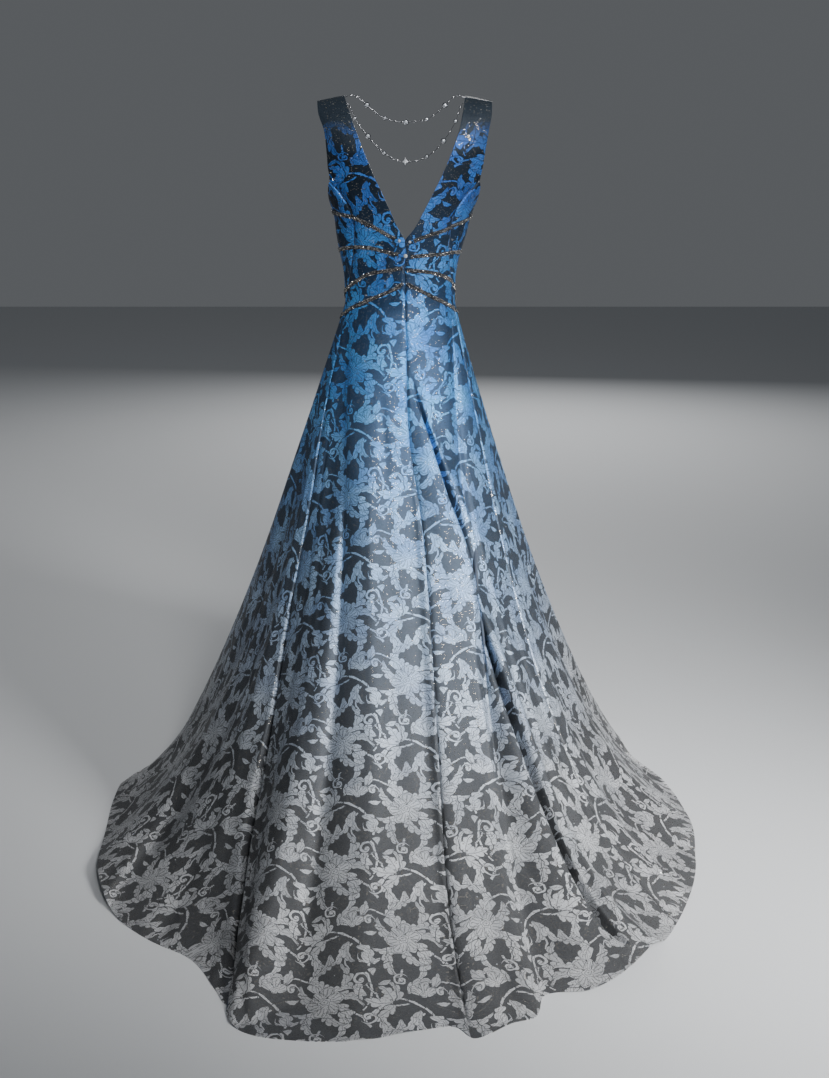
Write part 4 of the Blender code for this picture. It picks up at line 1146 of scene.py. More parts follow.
def ball_shape(detail: int) -> tuple[list, list]:
    """The points and triangles of a round bead of radius 1."""
    gold = (1 + math.sqrt(5)) / 2
    points = [Vector(p).normalized() for p in (
        (-1, gold, 0), (1, gold, 0), (-1, -gold, 0), (1, -gold, 0), (0, -1, gold), (0, 1, gold),
        (0, -1, -gold), (0, 1, -gold), (gold, 0, -1), (gold, 0, 1), (-gold, 0, -1), (-gold, 0, 1))]
    faces = [(0, 11, 5), (0, 5, 1), (0, 1, 7), (0, 7, 10), (0, 10, 11), (1, 5, 9), (5, 11, 4), (11, 10, 2),
             (10, 7, 6), (7, 1, 8), (3, 9, 4), (3, 4, 2), (3, 2, 6), (3, 6, 8), (3, 8, 9), (4, 9, 5),
             (2, 4, 11), (6, 2, 10), (8, 6, 7), (9, 8, 1)]
    for _ in range(detail - 1):
        halves: dict[tuple[int, int], int] = {}
        finer = []
        for a, b, c in faces:
            middle = []
            for i, j in ((a, b), (b, c), (c, a)):
                key = (min(i, j), max(i, j))
                if key not in halves:
                    halves[key] = len(points)
                    points.append((points[i] + points[j]).normalized())
                middle.append(halves[key])
            d, e, f = middle
            finer += [(a, d, f), (b, e, d), (c, f, e), (d, e, f)]
        faces = finer
    return points, faces


def turned(profile: Pairs, sides: int) -> tuple[list, list]:
    """A closed turned shape from its profile, which starts and ends on the axis.

    Args:
        profile: (radius, height) pairs from the bottom up or round, ending on the axis.
        sides: how many facets go round.

    Returns:
        Its points and faces.
    """
    rings = profile[1:-1]
    points = [Vector((0.0, 0.0, profile[0][1]))]
    for radius, height in rings:
        for s in range(sides):
            angle = 2 * math.pi * s / sides
            points.append(Vector((radius * math.cos(angle), radius * math.sin(angle), height)))
    points.append(Vector((0.0, 0.0, profile[-1][1])))
    last = len(points) - 1
    faces = []
    for s in range(sides):
        after = (s + 1) % sides
        faces.append((0, 1 + after, 1 + s))
        for r in range(len(rings) - 1):
            a, b = 1 + r * sides, 1 + (r + 1) * sides
            faces.append((a + s, a + after, b + after, b + s))
        top = 1 + (len(rings) - 1) * sides
        faces.append((top + s, top + after, last))
    if profile[0][1] > profile[-1][1]:
        faces = [tuple(reversed(face)) for face in faces]
    return points, faces


@dataclass(frozen=True)
class LozengeSetting:
    """The four-pointed stone of the lower strand: a bright cut lozenge in a thin frame.

    The rings of the frame and the stone are (share of the outline, height) pairs from the back to the face.
    """

    half_width: float = 7.4 * MM
    half_height: float = 9.4 * MM
    hollow: float = 0.46 * 1.22
    corners: int = 8
    frame: Pairs = ((0.94, -1.0 * MM), (1.0, 0.0), (0.98, 1.1 * MM), (0.84, 1.3 * MM))
    stone: Pairs = ((0.84, 1.2 * MM), (0.52, 2.9 * MM))
    rises: Pair = (0.0, 0.4 * MM)

    def ring(self, size: float, height: float) -> list[Triple]:
        """The corners of a four-pointed outline."""
        corners = []
        for k in range(self.corners):
            angle = 2 * math.pi / self.corners * k
            reach = size if k % 2 == 0 else size * self.hollow
            across, up = self.half_width * math.cos(angle), self.half_height * math.sin(angle)
            corners.append((reach * across, reach * up, height))
        return corners

    def add_to(self, draft: Draft, matrix: Matrix) -> None:
        """Adds the frame and the stone, as materials 0 and 1."""
        count = self.corners
        for slot, rings in enumerate((self.frame, self.stone)):
            points = [point for size, height in rings for point in self.ring(size, height)]
            faces: list[tuple[int, ...]] = [tuple(reversed(range(count)))]
            top = (len(rings) - 1) * count
            for first in range(0, top, count):
                for s in range(count):
                    a, b = first + s, first + (s + 1) % count
                    faces.append((a, b, b + count, a + count))
            faces += [(top + s, top + (s + 1) % count, len(points)) for s in range(count)]
            points.append((0.0, 0.0, rings[-1][1] + self.rises[slot]))
            draft.add(points, faces, matrix, slot)


@dataclass
class BeadedBand:
    """A band of cut glass beads sewn in close rows on a dark net tape, along a path from the centre back."""

    side: int
    number: int
    degrees: tuple[float, ...]
    drops: tuple[float, ...]
    half_width: float = 4.3 * MM
    tape: float = 0.8 * MM
    lift: float = 0.25 * MM
    tape_section: Pairs = ((-1.0, 0.0), (-0.8, 1.0), (0.8, 1.0), (1.0, 0.0))
    rows: int = 4
    bead_radius: float = 1.14 * MM
    bead_pitch: float = 1.02
    bead_sizes: Pair = (0.82, 1.08)
    bead_rises: Pair = (0.45, 0.75)
    full_turn: float = 6.28
    pale_share: float = 0.36
    steps: int = 60

    def path(self, surface: Surface) -> list[tuple[Vector, Vector]]:
        """Points of the cloth along the band's middle, with normals."""
        track = Track(self.degrees, self.drops)
        spots = []
        for degrees in np.linspace(self.degrees[0], self.degrees[-1], self.steps + 1):
            spots.append(surface.at(self.side, float(degrees), float(track(degrees))))
        return spots

    def build(self, surface: Surface, materials: list, random: np.random.Generator) -> None:
        """Builds the band, hangs it on the root, hides its imported part and logs its faces.

        Args:
            surface: the cloth that it is sewn to.
            materials: the net tape, the dark beads and the pale beads.
            random: the source of small differences.
        """
        spots = self.path(surface)
        draft = Draft()
        sections, frames = [], []
        for k, (middle, normal) in enumerate(spots):
            ahead = (spots[min(k + 1, self.steps)][0] - spots[max(k - 1, 0)][0]).normalized()
            up = normal.cross(ahead).normalized()
            up = -up if up.z < 0 else up
            frames.append((middle, normal, ahead, up))
            for reach, height in self.tape_section:
                foot, _ = surface.nearest(middle + up * (reach * self.half_width))
                sections.append(foot + normal * (self.lift + height * self.tape))
        faces = []
        for k in range(self.steps):
            for s in range(4):
                a, b = 4 * k + s, 4 * k + (s + 1) % 4
                faces.append((a, b, b + 4, a + 4))
        last = 4 * self.steps
        faces += [(3, 2, 1, 0), (last, last + 1, last + 2, last + 3)]
        draft.add(sections, faces)
        self.add_beads(draft, surface, frames, random)
        side = "left" if self.side < 0 else "right"
        piece = draft.build(f"beaded_band_{side}_{self.number}", materials, smooth=False)
        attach(piece, ROOT)
        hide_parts(f"band_{side}_{self.number}")
        log.info("%s: %d faces", piece.name, len(piece.data.polygons))

    def add_beads(self, draft: Draft, surface: Surface, frames: list, random: np.random.Generator) -> None:
        """Sews rows of beads along the tape."""
        run = [0.0]
        for a, b in zip(frames, frames[1:]):
            run.append(run[-1] + (b[0] - a[0]).length)
        count = int(run[-1] / (2 * self.bead_radius * self.bead_pitch))
        points, shape = ball_shape(1)
        for row in range(self.rows):
            across = blend(-1.0, 1.0, row / (self.rows - 1)) * (self.half_width - self.bead_radius)
            for n in range(count):
                at = run[-1] * (n + 0.5 + 0.5 * (row % 2)) / (count + 0.5)
                k = min(int(np.searchsorted(run, at)), len(frames) - 1)
                share = (at - run[k - 1]) / (run[k] - run[k - 1])
                middle = frames[k - 1][0].lerp(frames[k][0], share)
                _, normal, _, up = frames[k]
                foot, _ = surface.nearest(middle + up * across)
                size = self.bead_radius * random.uniform(*self.bead_sizes)
                rise = size * random.uniform(*self.bead_rises)
                spot = foot + normal * (self.lift + self.tape + rise)
                angle = random.uniform(0, self.full_turn)
                turn = Matrix.Rotation(angle, 4, Vector(random.normal(size=3)))
                slot = 2 if random.random() < self.pale_share else 1
                draft.add(points, shape, Matrix.Translation(spot) @ turn @ Matrix.Scale(size, 4), slot)


BANDS = (
    BeadedBand(-1, 1, (8.0, 15.0, 27.0, 45.0, 89.0, 99.0), (0.2855, 0.276, 0.260, 0.243, 0.234, 0.236)),
    BeadedBand(-1, 2, (5.5, 17.0, 30.0, 44.0, 90.0, 99.0), (0.318, 0.312, 0.305, 0.304, 0.316, 0.318)),
    BeadedBand(-1, 3, (2.0, 17.0, 38.0, 51.0, 78.0, 99.0), (0.346, 0.352, 0.362, 0.376, 0.400, 0.418)),
    BeadedBand(-1, 4, (2.0, 7.0, 17.0, 38.0, 63.0, 99.0), (0.378, 0.387, 0.398, 0.417, 0.437, 0.466)),
    BeadedBand(1, 1, (8.0, 18.0, 37.0, 59.0, 82.0, 99.0), (0.290, 0.281, 0.268, 0.254, 0.244, 0.240)),
    BeadedBand(1, 2, (5.5, 30.0, 53.0, 75.0, 99.0), (0.322, 0.319, 0.317, 0.317, 0.319)),
    BeadedBand(1, 3, (2.0, 21.0, 41.0, 64.0, 78.0, 99.0), (0.351, 0.354, 0.362, 0.378, 0.396, 0.424)),
    BeadedBand(1, 4, (2.0, 19.0, 40.0, 64.0, 99.0), (0.379, 0.396, 0.415, 0.433, 0.455)),
)


@dataclass
class CrystalStone:
    """A cut glass stone in a claw cup, sewn on at the centre back."""

    node: str
    side: int
    degrees: float
    drop: float
    radius: float
    height: float
    lift: float = 0.5 * MM
    cup: Pairs = ((0.0, 0.0), (0.72, 0.0), (0.94, 0.18), (1.0, 0.42), (0.92, 0.50), (0.80, 0.30), (0.0, 0.28))
    cup_sides: int = 16
    gem: Pairs = (
        (0.0, 0.29), (0.66, 0.32), (0.90, 0.50), (0.86, 0.62), (0.66, 0.84), (0.50, 0.98), (0.0, 1.0),
    )
    gem_sides: int = 10
    claws: int = 4
    claw_place: Triple = (0.86, 0.0, 0.62)
    claw_size: Triple = (0.14, 0.10, 0.20)

    def build(self, surface: Surface, metal: Material, glass: Material) -> None:
        """Builds the stone, hangs it on the root and hides its imported part."""
        foot, normal = surface.at(self.side, self.degrees, self.drop)
        turn = normal.to_track_quat("Z", "Y").to_matrix().to_4x4()
        place = Matrix.Translation(foot + normal * self.lift) @ turn
        size = Matrix.Diagonal((self.radius, self.radius, self.height, 1.0))
        claw = Matrix.Translation(self.claw_place) @ Matrix.Diagonal((*self.claw_size, 1.0))
        draft = Draft()
        draft.add(*turned(self.cup, self.cup_sides), place @ size, 0)
        draft.add(*turned(self.gem, self.gem_sides), place @ size, 1)
        for k in range(self.claws):
            spin = Matrix.Rotation(math.pi / 4 + 2 * math.pi * k / self.claws, 4, "Z")
            draft.add(*ball_shape(1), place @ size @ spin @ claw, 0)
        piece = draft.build(f"{self.node}_set", [metal, glass], smooth=False)
        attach(piece, ROOT)
        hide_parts(self.node)


CRYSTALS = (
    CrystalStone("crystal_centre", 1, 0.6, 0.3205, 0.0052, 0.0045),
    CrystalStone("crystal_left", -1, 4.6, 0.2885, 0.0032, 0.0030),
    CrystalStone("crystal_right", 1, 4.4, 0.2910, 0.0032, 0.0030),
)


class Lamp(NamedTuple):
    """A soft round lamp: its place, aim, width, power and beam in degrees."""

    name: str
    place: Triple
    aim: Triple
    size: float
    power: float
    spread: float


@dataclass
class Studio:
    """A pale floor, soft lights and the camera at the photograph's angle."""

    floor_height: float = -1.4985
    floor_reach: float = 9.0
    floor_colour: str = "#c9cbcd"
    floor_roughness: float = 0.85
    lens: float = 50.0
    sensor_height: float = 36.0
    clip_start: float = 0.05
    camera_place: Triple = (0.023, -3.295, -0.05)
    camera_tilt: float = 74.46
    lights: tuple[Lamp, ...] = (
        Lamp("key", (0.9, -3.4, 1.3), (0.17, -0.1, -0.37), 1.2, 15.0, 55.0),
        Lamp("train", (2.7, -2.6, 0.15), (0.80, -0.75, -1.42), 1.0, 24.0, 48.0),
        Lamp("front", (0.6, 4.8, 0.8), (0.0, 0.2, -0.7), 2.0, 90.0, 180.0),
        Lamp("top", (1.2, -1.0, 3.0), (0.4, -0.7, -1.0), 2.0, 12.0, 180.0),
    )
    surround: str = "#9fa3a8"
    surround_strength: float = 0.30

    def camera(self) -> None:
        """Places the camera."""
        data = bpy.data.cameras.new("camera")
        data.lens = self.lens
        data.sensor_fit = "VERTICAL"
        data.sensor_height = self.sensor_height
        data.clip_start = self.clip_start
        camera = new_object("camera", data)
        camera.location = self.camera_place
        camera.rotation_euler = (math.radians(self.camera_tilt), 0.0, 0.0)
        bpy.context.scene.camera = camera

    def light_up(self) -> None:
        """Places the lights and the surround."""
        for lamp in self.lights:
            data = bpy.data.lights.new(lamp.name, "AREA")
            data.shape = "DISK"
            data.size = lamp.size
            data.energy = lamp.power
            data.spread = math.radians(lamp.spread)
            light = new_object(lamp.name, data)
            light.location = lamp.place
            light.rotation_euler = (Vector(lamp.aim) - Vector(lamp.place)).to_track_quat("-Z", "Y").to_euler()
        world = bpy.data.worlds.new("surround")
        world.use_nodes = True
        backdrop = world.node_tree.nodes["Background"]
        backdrop.inputs["Color"].default_value = srgb(self.surround)
        backdrop.inputs["Strength"].default_value = self.surround_strength
        bpy.context.scene.world = world

    def floor(self) -> None:
        """Lays a pale matt floor."""
        paint, _, _ = PlainFinish("studio_floor_paint", self.floor_colour, self.floor_roughness).make()
        reach = self.floor_reach
        corners = [(x * reach, y * reach, 0.0) for x, y in ((-1, -1), (1, -1), (1, 1), (-1, 1))]
        draft = Draft()
        draft.add(corners, [(0, 1, 2, 3)], Matrix.Translation((0.0, 0.0, self.floor_height)))
        draft.build("studio_floor", [paint])


class Motif(Enum):
    """The kinds of woven ornament in the brocade."""

    SCROLL = "scroll leaf"
    LEAF = "leaf"
    PETAL = "petal"
    HEART = "heart"
    CURL = "curl"
    STEM = "stem"
    DOTS = "dots"


SCROLL, LEAF, PETAL, HEART, CURL, STEM, DOTS = Motif


class Stamp(NamedTuple):
    """One ornament of the repeat, in centimetres and degrees.

    x, y is its foot, or the middle of a heart or curl. turn is the way it sets out, size its length or
    radius, and width its half width. count is a leaf's lobes, a curl's spacing or the dots on a string, and
    bend how far it turns to the left on its way.
    """

    motif: Motif
    x: float
    y: float
    turn: float
    size: float
    width: float
    count: float = 3.0
    bend: float = 0.0
    level: float = 1.0


# The large cluster of the repeat: a peony in scrolling acanthus leaves
PEONY = (
    Stamp(STEM, -8.8, -7.6, 72.0, 10.5, 0.19, bend=-62.0),
    Stamp(STEM, 2.4, -2.4, -62.0, 8.5, 0.17, bend=84.0),
    Stamp(STEM, 2.0, 3.0, 62.0, 6.5, 0.15, bend=-70.0),
    Stamp(SCROLL, -2.0, 2.2, 126.0, 7.2, 1.30, 4.0, -82.0, 0.86),
    Stamp(SCROLL, 1.8, 2.4, 56.0, 7.0, 1.25, 4.0, 78.0),
    Stamp(SCROLL, -2.2, -2.2, 230.0, 7.0, 1.30, 4.0, 84.0),
    Stamp(SCROLL, 2.4, -2.4, -66.0, 6.8, 1.25, 4.0, -80.0, 0.84),
    Stamp(LEAF, -5.6, 1.6, 84.0, 3.4, 0.85, 1.0, -0.40),
    Stamp(LEAF, 5.2, -6.6, -70.0, 3.2, 0.80, 1.0, 0.40, 0.86),
    Stamp(SCROLL, -1.4, 1.0, 158.0, 6.2, 1.25, 4.0, 92.0, 0.84),
    Stamp(SCROLL, -1.2, -0.6, 196.0, 5.8, 1.15, 3.0, 78.0),
    Stamp(SCROLL, 0.0, -1.6, 262.0, 5.6, 1.15, 4.0, -84.0, 0.86),
    Stamp(SCROLL, 1.4, -1.2, -52.0, 5.2, 1.10, 3.0, 80.0),
    Stamp(SCROLL, 2.4, 0.8, 14.0, 5.0, 1.10, 3.0, 84.0, 0.86),
    Stamp(SCROLL, 0.6, 2.0, 84.0, 5.2, 1.15, 4.0, -88.0),
    Stamp(SCROLL, -0.8, 1.8, 118.0, 4.4, 0.95, 3.0, 96.0),
    Stamp(PETAL, 0.3, 0.3, 96.0, 3.3, 1.35, level=0.88),
    Stamp(PETAL, 0.3, 0.3, 158.0, 3.0, 1.30),
    Stamp(PETAL, 0.3, 0.3, 226.0, 3.1, 1.35, level=0.90),
    Stamp(PETAL, 0.3, 0.3, 290.0, 3.4, 1.40),
    Stamp(PETAL, 0.3, 0.3, 350.0, 3.2, 1.35, level=0.90),
    Stamp(PETAL, 0.3, 0.3, 42.0, 2.7, 1.15),
    Stamp(HEART, 0.5, 0.3, 0.0, 1.05, 1.0, 5.0),
    Stamp(CURL, -5.4, 4.9, 30.0, 1.55, 0.21, 1.10),
    Stamp(CURL, 7.0, -4.2, 200.0, 1.40, 0.19, 1.05),
    Stamp(DOTS, 0.4, -6.4, -84.0, 3.0, 0.19, 7.0, 16.0),
    Stamp(LEAF, -7.4, -3.0, 128.0, 2.6, 0.60, 0.5, 0.45),
    Stamp(LEAF, 6.0, 4.8, -24.0, 2.6, 0.58, 0.5, -0.50, 0.86),
)
# What joins the peonies: scrolling stems with a broad leaf, a bud, curls and sprigs
SPRAY = (
    Stamp(STEM, -6.8, -6.4, 88.0, 12.0, 0.20, bend=-86.0),
    Stamp(STEM, 6.8, 6.6, 236.0, 9.0, 0.17, bend=66.0),
    Stamp(STEM, -1.0, 0.4, -36.0, 7.0, 0.16, bend=104.0),
    Stamp(STEM, -3.6, -1.6, -50.0, 6.0, 0.15, bend=-76.0),
    Stamp(SCROLL, -0.8, 2.6, 104.0, 6.4, 1.20, 4.0, 88.0, 0.84),
    Stamp(SCROLL, 3.4, -1.8, -84.0, 6.2, 1.20, 4.0, -80.0),
    Stamp(SCROLL, -5.4, -3.4, 236.0, 5.4, 1.10, 3.0, -84.0),
    Stamp(SCROLL, 0.4, -3.6, -100.0, 5.4, 1.05, 4.0, 78.0, 0.86),
    Stamp(LEAF, -4.8, 4.4, 104.0, 3.6, 0.90, 1.0, 0.40, 0.86),
    Stamp(LEAF, 6.2, 1.4, 40.0, 3.4, 0.85, 1.0, -0.40),
    Stamp(SCROLL, 1.4, 0.8, 112.0, 4.8, 1.10, 3.0, -84.0, 0.86),
    Stamp(LEAF, 1.8, 0.4, 52.0, 4.4, 1.25, 2.0, 0.40),
    Stamp(LEAF, 1.8, 0.2, 4.0, 5.0, 1.35, 2.0, -0.30),
    Stamp(LEAF, 1.6, -0.2, -46.0, 4.2, 1.15, 2.0, -0.45, 0.86),
    Stamp(SCROLL, -4.4, -2.2, 186.0, 5.0, 1.05, 3.0, 92.0),
    Stamp(SCROLL, -3.0, -1.0, -64.0, 5.2, 1.10, 4.0, -84.0, 0.84),
    Stamp(SCROLL, -1.6, -2.4, -104.0, 4.6, 1.00, 3.0, 88.0),
    Stamp(PETAL, -3.4, 2.6, 92.0, 2.7, 0.95, level=0.88),
    Stamp(PETAL, -3.4, 2.6, 146.0, 2.5, 0.90),
    Stamp(PETAL, -3.2, 2.6, 36.0, 2.4, 0.90),
    Stamp(HEART, -3.3, 2.6, 0.0, 0.70, 1.0, 5.0),
    Stamp(CURL, 5.6, -3.4, 120.0, 1.45, 0.20, 1.05),
    Stamp(CURL, 0.6, 5.6, -40.0, 1.35, 0.19, 1.00),
    Stamp(CURL, -6.4, 3.6, 60.0, 1.10, 0.17, 0.90),
    Stamp(LEAF, -5.6, 0.8, 166.0, 2.4, 0.55, 0.5, 0.50),
    Stamp(LEAF, 3.2, -4.4, -96.0, 2.6, 0.60, 0.5, -0.45),
    Stamp(LEAF, 4.4, 4.2, 150.0, 2.4, 0.55, 0.5, 0.50, 0.86),
    Stamp(DOTS, 4.6, 1.8, 34.0, 3.0, 0.18, 7.0, 30.0),
)


@dataclass(frozen=True)
class Brocade:
    """Jacquard brocade: a satin floral weave with a metallic weft on a dark ground.

    The ornament is a set of stamps on a half-drop repeat, in the flat-cut places of each piece. It gives the
    eye crisp pale flowers that flash where the cloth faces the light, on a darker, duller ground. A pair is
    how much a value changes and where it starts, and a grain is a noise's scale, detail and roughness.
    """

    name: str = "jacquard_brocade_lurex_weft"
    plain_colour: str = "#42506a"
    plain_roughness: float = 0.5
    specular: float = 0.3
    repeat_width: float = 26.0
    repeat_height: float = 28.5
    outline: float = 0.085
    vein_depth: float = 0.62
    edge_wander: float = 0.16
    wander_grain: Triple = (0.55, 2.0, 0.6)
    swell: float = 2.6
    heights: tuple[float, ...] = (0.00, 0.12, 0.40, 0.58, 0.72, 0.88, 1.00)
    motif_colours: tuple[str, ...] = (
        "#cfd0d2", "#c6cacf", "#9cc3ec", "#68b8fb", "#58adfa", "#4387e0", "#3a6fc8",
    )
    deep_colours: tuple[str, ...] = (
        "#b0b1b3", "#a2a8b0", "#7199cf", "#4489df", "#3a77d2", "#315fb9", "#2d53a4",
    )
    ground_colours: tuple[str, ...] = (
        "#5c5d5f", "#525457", "#465261", "#3f5878", "#314866", "#242f3d", "#2b353f",
    )
    cloud_grain: Triple = (0.09, 2.0, 0.55)
    cloud_range: Quad = (0.38, 0.66, 0.0, 0.75)
    plain_from: float = -0.110
    plain_to: float = -0.045
    hem_height: float = -GownForm.hem_drop
    lurex_cell: float = 0.17
    lurex_squash: float = 0.6
    lurex_from: float = 0.972
    lurex_colour: str = "#e4dccb"
    lurex_cover: float = 0.60
    lurex_metal: float = 0.8
    lurex_gloss: float = 0.22
    thread_light: Pair = (0.34, 0.80)
    weave_metal: Pair = (-0.08, 0.60)
    plain_metal: Pair = (0.7, 0.3)
    weave_roughness: Pair = (0.03, 0.43)
    twill: Triple = (52.0, 30.0, 0.0)
    twill_height: float = 0.35
    slub_grain: Triple = (6.0, 3.0, 0.6)
    relief: Pair = (0.35, 0.0006)

    def places(self, n: Nodes) -> object:
        """The flat-cut places in centimetres."""
        cloth = n.add("UVMap", uv_map=CLOTH_UV)
        return n.add("VectorMath", cloth, (100.0, 100.0, 0.0), operation="MULTIPLY")

    def repeat(self, n: Nodes, places: object, middle: Pair) -> object:
        """Places wrapped to the nearest cluster of a half-drop repeat, with the weave's slight wander.

        Args:
            n: the tree.
            places: the flat-cut places.
            middle: the cluster's middle in the repeat.

        Returns:
            The wrapped places.
        """
        width, height = self.repeat_width, self.repeat_height
        moved = n.add("VectorMath", places, (middle[0], middle[1], 0.0), operation="SUBTRACT")
        one = n.add("VectorMath", moved, (1 / width, 1 / height, 0.0), operation="DOT_PRODUCT", out="Value")
        two = n.add("VectorMath", moved, (1 / width, -1 / height, 0.0), operation="DOT_PRODUCT", out="Value")
        i = n.add("WRAP", one, 0.5, -0.5)
        j = n.add("WRAP", two, 0.5, -0.5)
        x = n.add("MULTIPLY", n.add("ADD", i, j), width / 2)
        y = n.add("MULTIPLY", n.add("SUBTRACT", i, j), height / 2)
        local = n.add("CombineXYZ", x, y, 0.0)
        wander = n.add("TexNoise", local, None, *self.wander_grain, out="Color", noise_dimensions="2D")
        wander = n.add("VectorMath", wander, (0.5, 0.5, 0.5), operation="SUBTRACT")
        wander = n.add("VectorMath", wander, (4 * self.edge_wander,) * 3, operation="MULTIPLY")
        return n.add("VectorMath", local, wander, operation="ADD")

    def leaf(self, n: Nodes, x: object, y: object, stamp: Stamp) -> tuple[object, object]:
        """A small leaf's inside measure and its dark veins."""
        rest = n.add("SUBTRACT", 1.0, x)
        bow = n.add("MULTIPLY", n.add("MULTIPLY", x, rest), -4 * stamp.bend)
        off = n.add("ABSOLUTE", n.add("ADD", y, bow))
        backward, lobes_each, depth, base = -0.22, 1.5, 0.42, 0.60
        rib_half, slit_wave, slit_from = 0.07, 0.20, 0.22
        lean = n.add("MULTIPLY_ADD", off, backward, x)
        wave = n.add("ABSOLUTE", n.add("SINE", n.add("MULTIPLY", lean, math.pi * stamp.count * lobes_each)))
        lobes = n.add("MULTIPLY_ADD", wave, depth, base)
        shape = n.add("MULTIPLY", n.add("MULTIPLY", n.add("SQRT", x), rest), self.swell)
        inside = n.add("SUBTRACT", n.add("MULTIPLY", shape, lobes), off)
        rib = n.add("LESS_THAN", off, rib_half)
        slit = n.add("MULTIPLY", n.add("LESS_THAN", wave, slit_wave), n.add("GREATER_THAN", off, slit_from))
        return n.add("MULTIPLY", inside, stamp.width), n.add("MAXIMUM", rib, slit)

    def scroll(self, n: Nodes, r: object, along: object, stamp: Stamp) -> tuple[object, object]:
        """A scrolling acanthus leaf's inside measure and its dark veins, lobed on its outer side."""
        off = n.add("SUBTRACT", r, stamp.size / math.radians(abs(stamp.bend)))
        rest = n.add("SUBTRACT", 1.0, along)
        backward, outer_lobes, inner_lobes = -0.16, (0.55, 0.50), (0.16, 0.34)
        rib_place, rib_half, second_share, second_half = 0.02, 0.055, 0.52, 0.045
        slit_wave, slit_from = 0.24, 0.22
        shape = n.add("MULTIPLY", n.add("MULTIPLY", n.add("SQRT", along), rest), self.swell * stamp.width)
        lean = n.add("MULTIPLY_ADD", off, backward / stamp.width, along)
        wave = n.add("ABSOLUTE", n.add("SINE", n.add("MULTIPLY", lean, math.pi * stamp.count)))
        outer = n.add("MULTIPLY", shape, n.add("MULTIPLY_ADD", wave, *outer_lobes))
        inner = n.add("MULTIPLY", shape, n.add("MULTIPLY_ADD", wave, *inner_lobes))
        inside = n.add("MINIMUM", n.add("SUBTRACT", outer, off), n.add("ADD", inner, off))
        rib = n.add("COMPARE", off, rib_place, rib_half)
        second = n.add("COMPARE", off, n.add("MULTIPLY", outer, second_share), second_half)
        beyond = n.add("GREATER_THAN", off, slit_from * stamp.width)
        slit = n.add("MULTIPLY", n.add("LESS_THAN", wave, slit_wave), beyond)
        return inside, n.add("MAXIMUM", n.add("MAXIMUM", rib, second), slit)

    def petal(self, n: Nodes, x: object, y: object, stamp: Stamp) -> tuple[object, object]:
        """A petal's inside measure and its fine dark streaks."""
        foot, ruffles, middle_shift, ruffle_edge = 0.5, 13.0, -1.15, (0.16, 0.92)
        streaks, streak_from, streak_span = 26.0, 0.62, (0.62, 0.26)
        lip_span, lip_from = (0.62, 0.07), 0.55
        fan = n.add("ARCTAN2", n.add("MULTIPLY", y, stamp.width), n.add("MULTIPLY_ADD", x, stamp.size, foot))
        ruffle = n.add("SINE", n.add("MULTIPLY", fan, ruffles))
        middle = n.add("MULTIPLY_ADD", x, 2.0, middle_shift)
        round_off = n.add("MULTIPLY_ADD", middle, middle, n.add("MULTIPLY", y, y))
        edge = n.add("MULTIPLY_ADD", n.add("MULTIPLY", ruffle, x), *ruffle_edge)
        inside = n.add("MULTIPLY", n.add("SUBTRACT", edge, round_off), 0.5 * stamp.width)
        streak = n.add("GREATER_THAN", n.add("COSINE", n.add("MULTIPLY", fan, streaks)), streak_from)
        streak = n.add("MULTIPLY", streak, n.add("COMPARE", x, *streak_span))
        lip = n.add("COMPARE", round_off, *lip_span)
        lip = n.add("MULTIPLY", lip, n.add("GREATER_THAN", x, lip_from))
        return inside, n.add("MAXIMUM", streak, lip)

    def heart(self, n: Nodes, r: object, angle: object, stamp: Stamp) -> tuple[object, object]:
        """The round heart of a blossom: its inside measure and its dark lines."""
        scallop, ring_share, ring_half, eye = (0.30, 0.70), 0.58, 0.09, 0.16
        petal = n.add("ABSOLUTE", n.add("COSINE", n.add("MULTIPLY", angle, stamp.count / 2)))
        reach = n.add("MULTIPLY_ADD", petal, *scallop)
        ring = n.add("COMPARE", r, n.add("MULTIPLY", reach, ring_share), ring_half)
        ink = n.add("MAXIMUM", ring, n.add("LESS_THAN", r, eye))
        return n.add("MULTIPLY", n.add("SUBTRACT", reach, r), stamp.size), ink

    def curl(self, n: Nodes, r: object, angle: object, stamp: Stamp) -> object:
        """A volute's inside measure."""
        thickening, thinnest, eye = 0.5, 0.6, 0.36
        arm = n.add("MULTIPLY_ADD", angle, -stamp.count / (2 * math.pi), r)
        away = n.add("ABSOLUTE", n.add("WRAP", arm, stamp.count / 2, -stamp.count / 2))
        wide = n.add("MULTIPLY_ADD", r, thickening * stamp.width / stamp.size, thinnest * stamp.width)
        line = n.add("MINIMUM", n.add("SUBTRACT", wide, away), n.add("SUBTRACT", stamp.size, r))
        return n.add("MAXIMUM", line, n.add("SUBTRACT", eye, r))

    def stem(self, n: Nodes, r: object, along: object, stamp: Stamp) -> object:
        """A tapering stem's inside measure, or that of a string of dots."""
        taper, thickest = -0.45, 1.2
        away = n.add("SUBTRACT", r, stamp.size / math.radians(abs(stamp.bend)))
        end = n.add("MINIMUM", along, n.add("SUBTRACT", 1.0, along))
        end = n.add("MULTIPLY", end, stamp.size)
        if stamp.motif is DOTS:
            half = 0.5 / stamp.count
            beside = n.add("MULTIPLY", n.add("WRAP", along, half, -half), stamp.size)
            away = n.add("SQRT", n.add("MULTIPLY_ADD", beside, beside, n.add("MULTIPLY", away, away)))
            return n.add("MINIMUM", n.add("SUBTRACT", stamp.width, away), end)
        wide = n.add("MULTIPLY_ADD", along, taper * stamp.width, thickest * stamp.width)
        return n.add("MINIMUM", n.add("SUBTRACT", wide, n.add("ABSOLUTE", away)), end)

